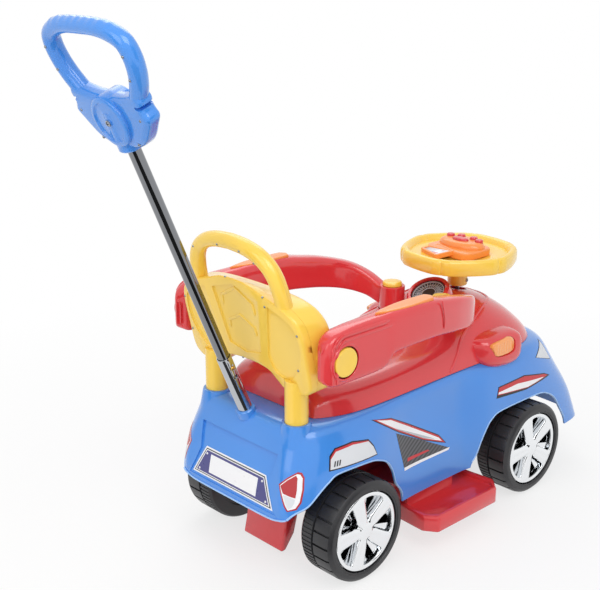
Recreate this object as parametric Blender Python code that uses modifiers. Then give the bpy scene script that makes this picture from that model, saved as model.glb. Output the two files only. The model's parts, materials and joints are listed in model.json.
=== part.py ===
"""Foot-to-floor ride-on car with a push handle, a latched guard rail on each side
and a steering wheel that turns both front wheels through a tie rod.

Metres, +Z up, the car's nose towards -Y and its right side towards -X. The origin
lies on the floor, in the middle of the length over nose and push handle.
"""

import bpy
import bmesh
from math import asin, cos, hypot, pi, radians, sin
from mathutils import Matrix, Vector

# Play between pieces
SEAM = 0.0003                # face to face
RUNNING = 0.0004             # a turning or sliding piece in its hole, on the radius
BUTTON_PLAY = 0.0006         # a push button in its hole, on the radius

# Wheels and chassis
REAR_AXLE_Y = 0.1335         # places the rear axle so that the origin is mid-length
WHEELBASE = 0.4285
WHEEL_RADIUS = 0.083
TYRE_WIDTH = 0.066
TRACK_HALF = 0.1735          # centre plane to the tyre's outer face
TREAD_WALL = 0.005
HUB_RADIUS = 0.013
AXLE_RADIUS = 0.005
HUBCAP_RADIUS = 0.0655
HUBCAP_THICKNESS = 0.005
CAP_NUT_RADIUS = 0.0095
WHEEL_SIDES = 24

# Body shells
BODY_WALL = 0.003
DECK_Z = 0.262
SILL_Z = 0.085
BUMPER_Z = 0.121
PAN_Z = 0.0965               # underside of the floor pan
PAN_THICKNESS = 0.003
PAN_HALF_WIDTH = 0.076
PAN_WING_X = 0.1396          # half width between the steps
RIB_X = 0.050
RIB_HEIGHT = 0.018

# Footsteps and rear block
STEP_REACH = 0.203           # centre plane to the step's outer edge
STEP_REAR = 0.122            # ahead of the rear axle
STEP_FRONT = 0.309
STEP_TOP_Z = 0.068
STEP_BASE_Z = 0.040
STEP_RIM = 0.009
STEP_RECESS = 0.006
BLOCK_FLOOR_GAP = 0.018
BLOCK_BEHIND = 0.064         # foot's rear edge behind the rear axle
BLOCK_HALF_WIDTH = 0.047
PAN_BEHIND = 0.086

# Steering
STEER_SETBACK = 0.0185       # steering axis behind the front axle
STEER_AHEAD = WHEELBASE - STEER_SETBACK
STEER_RADIUS = 0.104
STEER_RIM_RADIUS = 0.0125
STEER_RIM_Z = 0.4115
DISH_TOP = 0.0015             # above the rim's middle
STEER_BOSS_RADIUS = 0.0178
STEER_BOSS_FOOT_Z = 0.3565
STEER_ROD_RADIUS = 0.004
STEER_LIMIT = radians(36)
KINGPIN_X = 0.088
KINGPIN_RADIUS = 0.004
KNUCKLE_RADIUS = 0.0095
KNUCKLE_ARM = 0.040
BEAM_BASE_Z = 0.060
BEAM_TOP_Z = 0.124
BEAM_PLATE = 0.006
BEAM_HALF_DEPTH = 0.0115
BEAM_LUG_REACH = 0.056        # lugs on the floor pan, ahead of the front axle
LINK_PIN_RADIUS = 0.003
LINK_SLOT_PLAY = 0.0007
TIE_ROD_THICKNESS = 0.004
TIE_ROD_GAP = 0.0006

# Horn pad on the steering wheel
PAD_LENGTH = 0.100
PAD_WIDTH = 0.074
PAD_HEIGHT = 0.020
PAD_WALL = 0.003
HORN_TRAVEL = 0.0015
HORN_PROUD = 0.004
SMALL_HORN_RADIUS = 0.0072
OVAL_HORN_HALF = (0.0165, 0.0085)

# Backrest
POST_X = 0.093
POST_BEHIND = 0.074          # post axis behind the rear axle
POST_RADIUS = 0.018
SOCKET_WALL = 0.004
SOCKET_HEIGHT = 0.003
BACK_FOOT_Z = 0.333
BACK_LEAN = radians(13)
BACK_DEPTH = 0.054
BACK_REAR_SHELL = 0.014
BACK_LOOP_DEPTH = 0.026
BACK_BEHIND = 0.086          # rear face behind the rear axle, at its foot
BACK_LOOP_FOOT = 0.150       # where the thinner hand loop starts, up the rear face
BOSS_RADIUS = 0.0175

# Guard rails
HINGE_X = 0.057
HINGE_AHEAD = 0.299
HINGE_PIN_RADIUS = 0.0145
COLLAR_RADIUS = 0.0225
COLLAR_FOOT_Z = 0.3185
COLLAR_TOP_Z = 0.3645
HINGE_CAP_RADIUS = 0.0175
POST_BASE_RADIUS = 0.0205
HINGE_SOCKET_Z = 0.290       # floor of the post's socket in the upper body
HINGE_SOCKET_TOP_Z = 0.3213
COLLAR_SEAT_Z = 0.3175        # floor of the shallow pocket round the collar
HINGE_CAP_HEIGHT = 0.007
GUARD_X = 0.1640
GUARD_HALF_THICKNESS = 0.017
LATCH_RADIUS = 0.022
LATCH_TRAVEL = 0.004
LATCH_THICKNESS = 0.006
LATCH_PROUD = 0.0015
LATCH_STEM_RADIUS = 0.0085
INLAY_THICKNESS = 0.005
INLAY_Z = 0.4258
LATCH_BEHIND = 0.060
LATCH_Z = 0.380
LATCH_FLOOR_X = 0.1715       # centre plane to the floor of the button's recess

# Push handle
POLE_BEHIND = 0.094          # where the pole's axis meets the deck
POLE_LEAN = radians(23.5)
POLE_LENGTH = 0.4725         # deck to the underside of the handle
POLE_RADIUS = 0.0095
POLE_WALL = 0.0012
SLEEVE_RADIUS = 0.0112
SLEEVE_LENGTH = 0.105        # above the deck
SLEEVE_BELOW = 0.150
POLE_INSERTION = 0.075
HANDLE_SOCKET = 0.045
HANDLE_DEPTH = 0.026
HANDLE_HUB_RADIUS = 0.019
HANDLE_EYE = 0.042           # middle of the screwed disc, above the handle's foot
HANDLE_DISC_RADIUS = 0.036
HANDLE_DISC_HALF = 0.0195    # half its thickness, past the pole's hub
LOCK_RADIUS = 0.0035
LOCK_HEIGHTS = (0.086, 0.0693)   # of the button and the empty hole, above the deck
LOCK_TRAVEL = 0.0008

# Colours, sRGB
BLUE = (74, 144, 226)
RED = (222, 66, 72)
YELLOW = (250, 208, 88)
ORANGE = (250, 158, 88)
BLACK = (42, 42, 45)
CHROME = (205, 207, 210)
STEEL = (150, 152, 156)
BRASS = (190, 160, 100)
SILVER = (190, 194, 200)
GREEN = (40, 105, 60)

PARTS_NAME = "ride_on_car"
RIGHT, LEFT = -1, 1
SIDES = (("right", RIGHT), ("left", LEFT))
ROUND = 24


def ahead(distance):
    """World Y of a point that lies this far ahead of the rear axle."""
    return REAR_AXLE_Y - distance


def start_scene():
    for obj in list(bpy.data.objects):
        bpy.data.objects.remove(obj, do_unlink=True)
    parts = bpy.data.collections.new(PARTS_NAME)
    cutters = bpy.data.collections.new("cutters")
    for collection in (parts, cutters):
        bpy.context.scene.collection.children.link(collection)
    return parts, cutters


PARTS, CUTTERS = start_scene()


def linear(channel):
    value = channel / 255
    return value / 12.92 if value <= 0.04045 else ((value + 0.055) / 1.055) ** 2.4


def finish_of(name, colour, roughness=0.35, metallic=0.0):
    material = bpy.data.materials.new(name)
    material.use_nodes = True
    shader = material.node_tree.nodes["Principled BSDF"]
    shader.inputs["Base Color"].default_value = (*(linear(c) for c in colour), 1)
    shader.inputs["Roughness"].default_value = roughness
    shader.inputs["Metallic"].default_value = metallic
    return material


def place(obj, collection):
    for owner in list(obj.users_collection):
        owner.objects.unlink(obj)
    collection.objects.link(obj)


def piece(obj, name, colour, roughness=0.35, metallic=0.0):
    """Names an object as one node of the model and gives it its own finish."""
    obj.name = name
    obj.data.name = name
    place(obj, PARTS)
    obj.data.materials.clear()
    obj.data.materials.append(finish_of(name, colour, roughness, metallic))
    if obj.type == "MESH":
        obj.data.shade_smooth()
        obj.data.set_sharp_from_angle(angle=radians(32))
    return obj


def combine(obj, tool, operation):
    """Adds a Boolean with a tool that goes to the cutters' collection."""
    place(tool, CUTTERS)
    tool.hide_render = True
    tool.display_type = "WIRE"
    modifier = obj.modifiers.new(operation.lower(), "BOOLEAN")
    modifier.operation = operation
    modifier.solver = "EXACT"
    modifier.object = tool
    return obj


def cut(obj, tool):
    return combine(obj, tool, "DIFFERENCE")


def join(obj, tool):
    return combine(obj, tool, "UNION")


def bevel(obj, width, segments=2, angle=40):
    modifier = obj.modifiers.new("bevel", "BEVEL")
    modifier.width = width
    modifier.segments = segments
    modifier.limit_method = "ANGLE"
    modifier.angle_limit = radians(angle)
    return obj


def from_bmesh(mesh, location=(0, 0, 0), rotation=(0, 0, 0)):
    bmesh.ops.recalc_face_normals(mesh, faces=mesh.faces)
    data = bpy.data.meshes.new("mesh")
    mesh.to_mesh(data)
    mesh.free()
    obj = bpy.data.objects.new("shape", data)
    CUTTERS.objects.link(obj)
    obj.location = location
    obj.rotation_euler = rotation
    return obj


def box(low, high, location=(0, 0, 0), rotation=(0, 0, 0)):
    """A box between two corners, given about its location."""
    mesh = bmesh.new()
    middle = [(a + b) / 2 for a, b in zip(low, high)]
    size = [b - a for a, b in zip(low, high)]
    bmesh.ops.create_cube(mesh, size=1, matrix=Matrix.LocRotScale(middle, None, size))
    return from_bmesh(mesh, location, rotation)


def side_box(side, low, high, grow=0.0):
    """A box between two (x, ahead, z) corners of the left side, or its mirror image."""
    inner, outer = sorted((side * (low[0] - grow), side * (high[0] + grow)))
    return box((inner, -high[1] - grow, low[2] - grow), (outer, -low[1] + grow, high[2] + grow),
               (0, REAR_AXLE_Y, 0))


def halved(tool):
    """Splits a tool's faces along its middle plane, so that no face it cuts has a hole."""
    mesh = bmesh.new()
    mesh.from_mesh(tool.data)
    bmesh.ops.bisect_plane(mesh, geom=mesh.verts[:] + mesh.edges[:] + mesh.faces[:],
                           plane_co=(0, 0, 0), plane_no=(1, 0, 0))
    mesh.to_mesh(tool.data)
    mesh.free()
    return tool


def rod(radius, low, high, location=(0, 0, 0), rotation=(0, 0, 0), sides=ROUND, top=None):
    """A cylinder or cone along its local Z from low to high."""
    mesh = bmesh.new()
    bmesh.ops.create_cone(mesh, cap_ends=True, segments=sides, radius1=radius,
                          radius2=radius if top is None else top, depth=high - low,
                          matrix=Matrix.Translation((0, 0, (low + high) / 2)))
    return from_bmesh(mesh, location, rotation)


def outward(side):
    """Turns local Z to the car's outside on this side."""
    return (0, side * pi / 2, 0)


def turned(profile, location=(0, 0, 0), rotation=(0, 0, 0), sides=ROUND, closed=True):
    """Turns (radius, height) points about local Z with a Screw modifier."""
    mesh = bmesh.new()
    points = [mesh.verts.new((radius, 0, height)) for radius, height in profile]
    for one, two in zip(points, points[1:]):
        mesh.edges.new((one, two))
    if closed:
        mesh.edges.new((points[-1], points[0]))
    data = bpy.data.meshes.new("profile")
    mesh.to_mesh(data)
    mesh.free()
    obj = bpy.data.objects.new("shape", data)
    CUTTERS.objects.link(obj)
    screw = obj.modifiers.new("turn", "SCREW")
    screw.steps = sides
    screw.render_steps = sides
    screw.use_merge_vertices = True
    screw.merge_threshold = 0.00001
    obj.location = location
    obj.rotation_euler = rotation
    return obj


def plate(outlines, low, high, location=(0, 0, 0), rotation=(0, 0, 0)):
    """A flat outline with any holes, extruded along local Z from low to high."""
    curve = bpy.data.curves.new("outline", "CURVE")
    curve.dimensions = "2D"
    curve.fill_mode = "BOTH"
    curve.extrude = (high - low) / 2
    for outline in outlines:
        spline = curve.splines.new("POLY")
        spline.points.add(len(outline) - 1)
        for point, (x, y) in zip(spline.points, outline):
            point.co = (x, y, 0, 1)
        spline.use_cyclic_u = True
    flat = bpy.data.objects.new("flat", curve)
    PARTS.objects.link(flat)
    bpy.context.view_layer.update()
    data = bpy.data.meshes.new_from_object(flat.evaluated_get(
        bpy.context.evaluated_depsgraph_get()))
    bpy.data.objects.remove(flat, do_unlink=True)
    mesh = bmesh.new()
    mesh.from_mesh(data)
    bpy.data.meshes.remove(data)
    bmesh.ops.remove_doubles(mesh, verts=mesh.verts, dist=0.00001)
    bmesh.ops.translate(mesh, verts=mesh.verts, vec=(0, 0, (low + high) / 2))
    return from_bmesh(mesh, location, rotation)


def loft(rings, cap=True):
    """Skins rings of equal length, given as world points."""
    mesh = bmesh.new()
    rows = [[mesh.verts.new(point) for point in ring] for ring in rings]
    for lower, upper in zip(rows, rows[1:]):
        for i in range(len(lower)):
            j = (i + 1) % len(lower)
            mesh.faces.new((lower[i], lower[j], upper[j], upper[i]))
    if cap:
        mesh.faces.new(rows[0])
        mesh.faces.new(rows[-1])
    return from_bmesh(mesh)


def arc(centre, radius, start, end, count):
    """Points on an arc, from start to end in degrees."""
    steps = [radians(start + (end - start) * i / (count - 1)) for i in range(count)]
    return [(centre[0] + radius * cos(t), centre[1] + radius * sin(t)) for t in steps]


def mirrored(half):
    """Completes a symmetric outline from its half at positive x."""
    return list(half) + [(-x, y) for x, y in reversed(half) if x > 0]


# Half outlines of the lower body as (x, ahead), from the rear's middle to the nose's
BODY_RINGS = (
    (SILL_Z, ((0, -.128), (.060, -.128), (.120, -.126), (.150, -.098), (.156, -.030),
              (.155, .050), (.143, .125), (.143, .265), (.152, .325), (.155, .450),
              (.152, .600), (.130, .624), (.060, .632), (0, .634))),
    (0.150, ((0, -.130), (.060, -.130), (.117, -.127), (.149, -.096), (.157, -.030),
             (.156, .050), (.141, .125), (.141, .265), (.153, .325), (.156, .450),
             (.149, .566), (.125, .600), (.060, .617), (0, .621))),
    (0.190, ((0, -.122), (.060, -.122), (.112, -.119), (.143, -.093), (.156, -.030),
             (.156, .050), (.138, .125), (.138, .265), (.151, .325), (.154, .440),
             (.144, .535), (.119, .572), (.060, .594), (0, .599))),
    (0.235, ((0, -.104), (.055, -.104), (.101, -.102), (.131, -.082), (.148, -.030),
             (.150, .050), (.136, .125), (.136, .265), (.145, .325), (.146, .430),
             (.135, .502), (.113, .542), (.060, .568), (0, .573))),
    (DECK_Z, ((0, -.097), (.050, -.097), (.093, -.096), (.119, -.077), (.134, -.028),
              (.139, .050), (.134, .125), (.133, .265), (.136, .325), (.136, .430),
              (.127, .487), (.109, .524), (.058, .550), (0, .555))),
    (DECK_Z, ((0, -.070), (.042, -.070), (.080, -.068), (.100, -.050), (.112, -.015),
              (.115, .055), (.112, .125), (.112, .265), (.112, .325), (.112, .420),
              (.106, .460), (.090, .490), (.048, .515), (0, .520))),
)
REAR_EDGE = (BUMPER_Z, BUMPER_Z, 0.125, 0.142)   # the first columns end at the bumper's edge

# Wheel arches as (ahead of the wheel's axle, height)
REAR_ARCH = ((.112, .060), (.108, .100), (.090, .125), (.081, .149), (.069, .167),
             (.050, .179), (.020, .187), (-.040, .188), (-.060, .179), (-.077, .166),
             (-.095, .149), (-.115, .142), (-.115, .060))
FRONT_ARCH = ((-.150, .060), (-.142, .090), (-.131, .105), (-.120, .130), (-.110, .149),
              (-.098, .163), (-.070, .172), (.030, .172), (.066, .163), (.088, .149),
              (.106, .125), (.126, .095), (.132, .060))
ARCH_INNER_X = 0.070

# Half rim of the upper body as (x, ahead), and its heights from rim to middle
SEAT_STATIONS = (
    (-.046, .098, (0, 0, 0, 0)),
    (-.040, .103, (.020, .030, .042, .049)),
    (-.014, .117, (.027, .040, .053, .059)),
    (.020, .126, (.027, .037, .041, .041)),
    (.080, .129, (.026, .037, .034, .031)),
    (.160, .127, (.027, .039, .035, .032)),
    (.230, .126, (.029, .041, .041, .040)),
    (.262, .126, (.032, .044, .048, .049)),
    (.292, .126, (.036, .050, .054, .071)),
    (.325, .127, (.040, .056, .062, .089)),
    (.362, .127, (.042, .068, .088, .093)),
    (.410, .125, (.038, .064, .086, .091)),
    (.455, .118, (.028, .050, .070, .076)),
    (.492, .104, (.016, .030, .044, .049)),
    (.518, .080, (.006, .012, .018, .022)),
    (.530, .055, (0, 0, 0, 0)),
)
SECTION_SHARES = (0.93, 0.76, 0.42, 0.0)
RIM_Z = DECK_Z + SEAM
GAUGE_AHEAD = 0.334
GAUGE_Z = 0.350
GAUGE_RADIUS = 0.031
GAUGE_TILT = radians(28)
HOOD_RADIUS = 0.039
LENS_LOW = (0.1275, .350, .276)
LENS_HIGH = (0.1415, .398, .304)
HOUSING_LOW = (0.092, .3345, .2665)
HOUSING_HIGH = (0.1405, .4275, .3075)


def lower_body():
    mesh = bmesh.new()
    rows = []
    for level, (height, outline) in enumerate(BODY_RINGS):
        row = []
        for column, (x, y) in enumerate(outline):
            low = level == 0 and column < len(REAR_EDGE)
            row.append(mesh.verts.new((x, ahead(y), REAR_EDGE[column] if low else height)))
        rows.append(row)
    for lower, upper in zip(rows, rows[1:]):
        for i in range(len(lower) - 1):
            mesh.faces.new((lower[i], lower[i + 1], upper[i + 1], upper[i]))
    top = rows[-1]
    last = len(top) - 1
    for i in range((last - 1) // 2 + 1):
        one, two = i, last - i
        if two - one > 2:
            mesh.faces.new((top[one], top[one + 1], top[two - 1], top[two]))
        elif two - one == 2:
            mesh.faces.new((top[one], top[one + 1], top[two]))
    obj = from_bmesh(mesh)
    mirror = obj.modifiers.new("mirror", "MIRROR")
    mirror.merge_threshold = 0.0001
    soften = obj.modifiers.new("soften", "SUBSURF")
    soften.levels = 1
    soften.render_levels = 1
    wall = obj.modifiers.new("wall", "SOLIDIFY")
    wall.thickness = BODY_WALL
    wall.offset = -1
    for side in (RIGHT, LEFT):
        for arch, axle in ((REAR_ARCH, 0), (FRONT_ARCH, WHEELBASE)):
            outline = [(y, z) for y, z in arch]
            # local X runs ahead, local Y up and local Z sideways
            tool = plate([outline], ARCH_INNER_X, 0.2)
            tool.matrix_world = Matrix.Translation((0, ahead(axle), 0)) @ Matrix(
                ((0, 0, side, 0), (-1, 0, 0, 0), (0, 1, 0, 0), (0, 0, 0, 1)))
            cut(obj, tool)
        socket = (side * POST_X, ahead(-POST_BEHIND), 0)
        join(obj, rod(POST_RADIUS + SOCKET_WALL, DECK_Z - 0.020,
                      DECK_Z + SOCKET_HEIGHT, socket))
        cut(obj, rod(POST_RADIUS + SEAM, DECK_Z - 0.030, DECK_Z + 0.1, socket))
    opening = [(x - 0.026, ahead(y)) for y, x, _ in SEAT_STATIONS[3:13]]
    cut(obj, plate([mirrored(opening)], DECK_Z - 0.02, DECK_Z + 0.02))
    cut(obj, rod(SLEEVE_RADIUS + SEAM, -0.08, 0.08, (0, ahead(-POLE_BEHIND), DECK_Z),
                 (-POLE_LEAN, 0, 0)))
    return piece(obj, "lower_body", BLUE, 0.28)


def upper_body():
    mesh = bmesh.new()
    rows = []
    for y, rim, rises in SEAT_STATIONS:
        row = [mesh.verts.new((rim, ahead(y), RIM_Z))]
        for share, rise in zip(SECTION_SHARES, rises):
            row.append(mesh.verts.new((rim * share, ahead(y), RIM_Z + rise)))
        rows.append(row)
    for one, two in zip(rows, rows[1:]):
        for i in range(len(one) - 1):
            mesh.faces.new((one[i], one[i + 1], two[i + 1], two[i]))
    obj = from_bmesh(mesh)
    mirror = obj.modifiers.new("mirror", "MIRROR")
    mirror.merge_threshold = 0.0001
    soften = obj.modifiers.new("soften", "SUBSURF")
    soften.levels = 1
    soften.render_levels = 1
    wall = obj.modifiers.new("wall", "SOLIDIFY")
    wall.thickness = BODY_WALL
    wall.offset = -1
    level = RIM_Z + 0.0001
    cut(obj, box((-0.3, -0.6, level - 0.05), (0.3, 0.3, level)))
    gauge = (0, ahead(GAUGE_AHEAD), GAUGE_Z)
    tilt = (-GAUGE_TILT, 0, 0)
    pocket = COLLAR_RADIUS + 0.0015
    posts = [(side * HINGE_X, ahead(HINGE_AHEAD), 0) for side in (RIGHT, LEFT)]
    for post in posts:
        join(obj, rod(pocket + BODY_WALL, HINGE_SOCKET_Z - BODY_WALL, HINGE_SOCKET_TOP_Z, post))
    join(obj, rod(HOOD_RADIUS, -0.030, 0.012, gauge, tilt, sides=28))
    for side in (RIGHT, LEFT):
        join(obj, bevel(side_box(side, HOUSING_LOW, HOUSING_HIGH), 0.004, 1))
    for side in (RIGHT, LEFT):
        cut(obj, side_box(side, LENS_LOW, (LENS_HIGH[0] + 0.05,) + LENS_HIGH[1:], SEAM))
    for post in posts:
        cut(obj, rod(pocket, COLLAR_SEAT_Z, 0.40, post))
        cut(obj, rod(POST_BASE_RADIUS + SEAM, HINGE_SOCKET_Z, 0.36, post))
    cut(obj, rod(GAUGE_RADIUS + SEAM, 0, 0.05, gauge, tilt, sides=28))
    cut(obj, rod(STEER_BOSS_RADIUS + 0.0012, DECK_Z, 0.45, (0, ahead(STEER_AHEAD), 0)))
    return piece(obj, "upper_body", RED, 0.22)


def gauge_dial():
    place_at = (0, ahead(GAUGE_AHEAD), GAUGE_Z)
    dial = turned(((0, 0.007), (0.012, 0.0065), (GAUGE_RADIUS - 0.004, 0.005),
                   (GAUGE_RADIUS - 0.002, 0.0085), (GAUGE_RADIUS, 0.0085),
                   (GAUGE_RADIUS, SEAM), (0, SEAM)), place_at, (-GAUGE_TILT, 0, 0), 28, False)
    piece(dial, "gauge_dial", SILVER, 0.3, 0.4)


def indicator_lens(name, side):
    lens = side_box(side, LENS_LOW, LENS_HIGH)
    bevel(lens, 0.0035)
    piece(lens, "indicator_lens_" + name, ORANGE, 0.2)


def floor_pan():
    """The tray under the rider that ties axles, steps and block together."""
    rear = PAN_BEHIND
    front = WHEELBASE + 0.060
    wing_rear = STEP_REAR + 0.006
    wing_front = STEP_FRONT - 0.055
    half = [(PAN_HALF_WIDTH, rear), (PAN_HALF_WIDTH, 0.010 - wing_rear),
            (PAN_WING_X, -wing_rear), (PAN_WING_X, -wing_front),
            (PAN_HALF_WIDTH, -wing_front - 0.010), (PAN_HALF_WIDTH, 0.020 - front),
            (PAN_HALF_WIDTH - 0.020, -front)]
    well_x = PAN_HALF_WIDTH - 0.005
    well = [(0.030, 0.075 - WHEELBASE), (well_x, 0.055 - WHEELBASE),
            (well_x, -0.030 - WHEELBASE)]
    pan = plate([mirrored(half), mirrored(well)], PAN_Z, PAN_Z + PAN_THICKNESS,
                (0, REAR_AXLE_Y, 0))
    rib_half = PAN_THICKNESS / 2
    for x in (-RIB_X, RIB_X):
        join(pan, box((x - rib_half, 0.090 - WHEELBASE, PAN_Z + rib_half),
                      (x + rib_half, rear - 0.016, PAN_Z + RIB_HEIGHT), (0, REAR_AXLE_Y, 0)))
    return piece(pan, "floor_pan", RED, 0.45)


def rear_axle():
    end = TRACK_HALF - 0.012
    axle = rod(AXLE_RADIUS, -end, end, (0, ahead(0), WHEEL_RADIUS), outward(LEFT), 16)
    piece(axle, "rear_axle", STEEL, 0.3, 1.0)
    for name, side in SIDES:
        inner, outer = sorted((side * (PAN_HALF_WIDTH - 0.026), side * (PAN_HALF_WIDTH + 0.020)))
        bearing = box((inner, -0.016, WHEEL_RADIUS - 0.014), (outer, 0.016, PAN_Z - SEAM),
                      (0, ahead(0), 0))
        bevel(bearing, 0.003)
        hole = rod(AXLE_RADIUS + RUNNING, -0.05, 0.05,
                   (side * PAN_HALF_WIDTH, ahead(0), WHEEL_RADIUS), outward(LEFT), 16)
        cut(bearing, hole)
        piece(bearing, "rear_axle_bearing_" + name, RED, 0.45)


def wheel(name, side, axle_ahead):
    """A hollow wheel with its tread, open behind the hubcap."""
    centre = (side * (TRACK_HALF - TYRE_WIDTH), ahead(axle_ahead), WHEEL_RADIUS)
    top = WHEEL_RADIUS / cos(pi / WHEEL_SIDES)
    seat = HUBCAP_RADIUS + 0.0012
    bore = AXLE_RADIUS + RUNNING
    groove = 0.40 * TYRE_WIDTH
    profile = (
        (bore, 0), (top - 0.010, 0), (top, 0.008), (top, groove), (top - 0.003, groove + 0.001),
        (top - 0.003, groove + 0.003), (top, groove + 0.004), (top, TYRE_WIDTH - 0.008),
        (top - 0.006, TYRE_WIDTH), (seat, TYRE_WIDTH), (seat, TYRE_WIDTH - 0.012),
        (top - TREAD_WALL, TYRE_WIDTH - 0.018), (top - TREAD_WALL, 0.004),
        (HUB_RADIUS, 0.004), (HUB_RADIUS, TYRE_WIDTH - 0.022), (bore, TYRE_WIDTH - 0.022))
    obj = turned(tuple(reversed(profile)), centre, outward(side), WHEEL_SIDES)
    twist = pi / WHEEL_SIDES
    obj.rotation_euler = (Matrix.Rotation(side * pi / 2, 3, "Y")
                          @ Matrix.Rotation(twist, 3, "Z")).to_euler()
    return piece(obj, "wheel_" + name, BLACK, 0.5)


def hubcap(name, side, axle_ahead):
    """A chromed disc with five spokes that clips into the wheel."""
    face = TRACK_HALF - 0.004
    centre = (side * face, ahead(axle_ahead), WHEEL_RADIUS)
    outer = arc((0, 0), HUBCAP_RADIUS, 0, 360 - 360 / 30, 30)
    windows = []
    for spoke in range(5):
        middle = 90 + 72 * spoke + 36
        windows.append(arc((0, 0), HUBCAP_RADIUS - 0.008, middle - 24, middle + 24, 5)
                       + arc((0, 0), 0.019, middle + 16, middle - 16, 3))
    disc = plate([outer] + windows, -HUBCAP_THICKNESS, 0, centre, outward(side))
    join(disc, turned(((0, 0.0030), (0.013, 0.0018), (0.015, -0.003), (0, -0.003)),
                      centre, outward(side), 20, False))
    return piece(disc, "hubcap_" + name, CHROME, 0.12, 1.0)


def cap_nut(name, side, axle_ahead):
    """The push-on cap that keeps a wheel on its axle, under the hubcap."""
    base = TRACK_HALF - TYRE_WIDTH + (TYRE_WIDTH - 0.022) + 0.0006
    centre = (side * base, ahead(axle_ahead), WHEEL_RADIUS)
    bore = AXLE_RADIUS + SEAM / 2
    end = TYRE_WIDTH - 0.012 - (TYRE_WIDTH - 0.022) - 0.0006 + SEAM
    nut = turned(((0, end + 0.002), (CAP_NUT_RADIUS - 0.003, end + 0.002),
                  (CAP_NUT_RADIUS, end), (CAP_NUT_RADIUS, 0), (bore, 0), (bore, end), (0, end)),
                 centre, outward(side), 16, False)
    return piece(nut, "cap_nut_" + name, STEEL, 0.35, 1.0)


def footstep(name, side):
    """A step whose top is sunk inside a rim, hung from the pan by a raised lug."""
    wide = PAN_HALF_WIDTH + 0.004
    corner = 0.014
    outline = [(wide, -STEP_REAR - 0.006), (STEP_REACH - corner - 0.006, -STEP_REAR),
               (STEP_REACH, -STEP_REAR - corner), (STEP_REACH, -STEP_FRONT + corner + 0.010),
               (STEP_REACH - corner - 0.012, -STEP_FRONT), (wide, -STEP_FRONT + 0.008)]
    step = plate([[(side * x, y) for x, y in outline]], STEP_BASE_Z, STEP_TOP_Z,
                 (0, REAR_AXLE_Y, 0))
    bevel(step, 0.004)
    sunk = [(wide + 0.030, -STEP_REAR - STEP_RIM - 0.004),
            (STEP_REACH - STEP_RIM - corner, -STEP_REAR - STEP_RIM),
            (STEP_REACH - STEP_RIM, -STEP_REAR - STEP_RIM - corner),
            (STEP_REACH - STEP_RIM, -STEP_FRONT + STEP_RIM + corner),
            (STEP_REACH - STEP_RIM - corner, -STEP_FRONT + STEP_RIM + 0.004),
            (wide + 0.030, -STEP_FRONT + STEP_RIM + 0.008)]
    cut(step, plate([[(side * x, y) for x, y in sunk]], STEP_TOP_Z - STEP_RECESS,
                    STEP_TOP_Z + 0.02, (0, REAR_AXLE_Y, 0)))
    inner, outer = sorted((side * (wide + 0.002), side * (PAN_WING_X - 0.004)))
    join(step, box((inner, -STEP_FRONT + 0.060, STEP_TOP_Z - 0.010),
                   (outer, -STEP_REAR - 0.012, PAN_Z - SEAM), (0, REAR_AXLE_Y, 0)))
    return piece(step, "footstep_" + name, RED, 0.3)


def anti_tip_block():
    """A foot that leans forwards and is cut away under its front edge."""
    rings = []
    for z, rear, length in ((BLOCK_FLOOR_GAP, BLOCK_BEHIND, 0.010),
                            (BLOCK_FLOOR_GAP + 0.026, BLOCK_BEHIND - 0.006, 0.024),
                            (PAN_Z - SEAM, BLOCK_BEHIND - 0.014, 0.030)):
        rings.append([(x, REAR_AXLE_Y + y, z) for x, y in
                      ((-BLOCK_HALF_WIDTH, rear - length), (BLOCK_HALF_WIDTH, rear - length),
                       (BLOCK_HALF_WIDTH, rear), (-BLOCK_HALF_WIDTH, rear))])
    block = loft(rings)
    bevel(block, 0.003, 1)
    return piece(block, "anti_tip_block", RED, 0.35)


def front_beam():
    """Two plates on a web that hold the kingpins and the foot of the steering rod."""
    depth = BEAM_HALF_DEPTH
    reach = KINGPIN_X + 0.012
    centre = (0, ahead(WHEELBASE), 0)
    beam = box((-reach, -depth, BEAM_BASE_Z), (reach, depth, BEAM_TOP_Z), centre)
    for side in (RIGHT, LEFT):
        inner, outer = sorted((side * (KINGPIN_X - 0.018), side * (reach + 0.01)))
        cut(beam, box((inner, -0.05, BEAM_BASE_Z + BEAM_PLATE),
                      (outer, 0.05, BEAM_TOP_Z - BEAM_PLATE), centre))
        pin = (side * KINGPIN_X, ahead(WHEELBASE), 0)
        cut(beam, rod(KINGPIN_RADIUS + SEAM / 2, 0, 0.2, pin, sides=16))
    tail = STEER_SETBACK + 3.5 * STEER_ROD_RADIUS
    join(beam, box((-0.020, depth - 0.001, BEAM_TOP_Z - BEAM_PLATE),
                   (0.020, tail, BEAM_TOP_Z), centre))
    cut(beam, rod(STEER_ROD_RADIUS + RUNNING, 0, 0.2, (0, ahead(STEER_AHEAD), 0), sides=16))
    for x in (-RIB_X - 0.010, RIB_X + 0.010):
        join(beam, box((x - 0.006, -BEAM_LUG_REACH, PAN_Z + PAN_THICKNESS + SEAM),
                       (x + 0.006, -depth + 0.001, BEAM_TOP_Z - BEAM_PLATE), centre))
    return piece(beam, "front_axle_beam", BLACK, 0.5)


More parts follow.
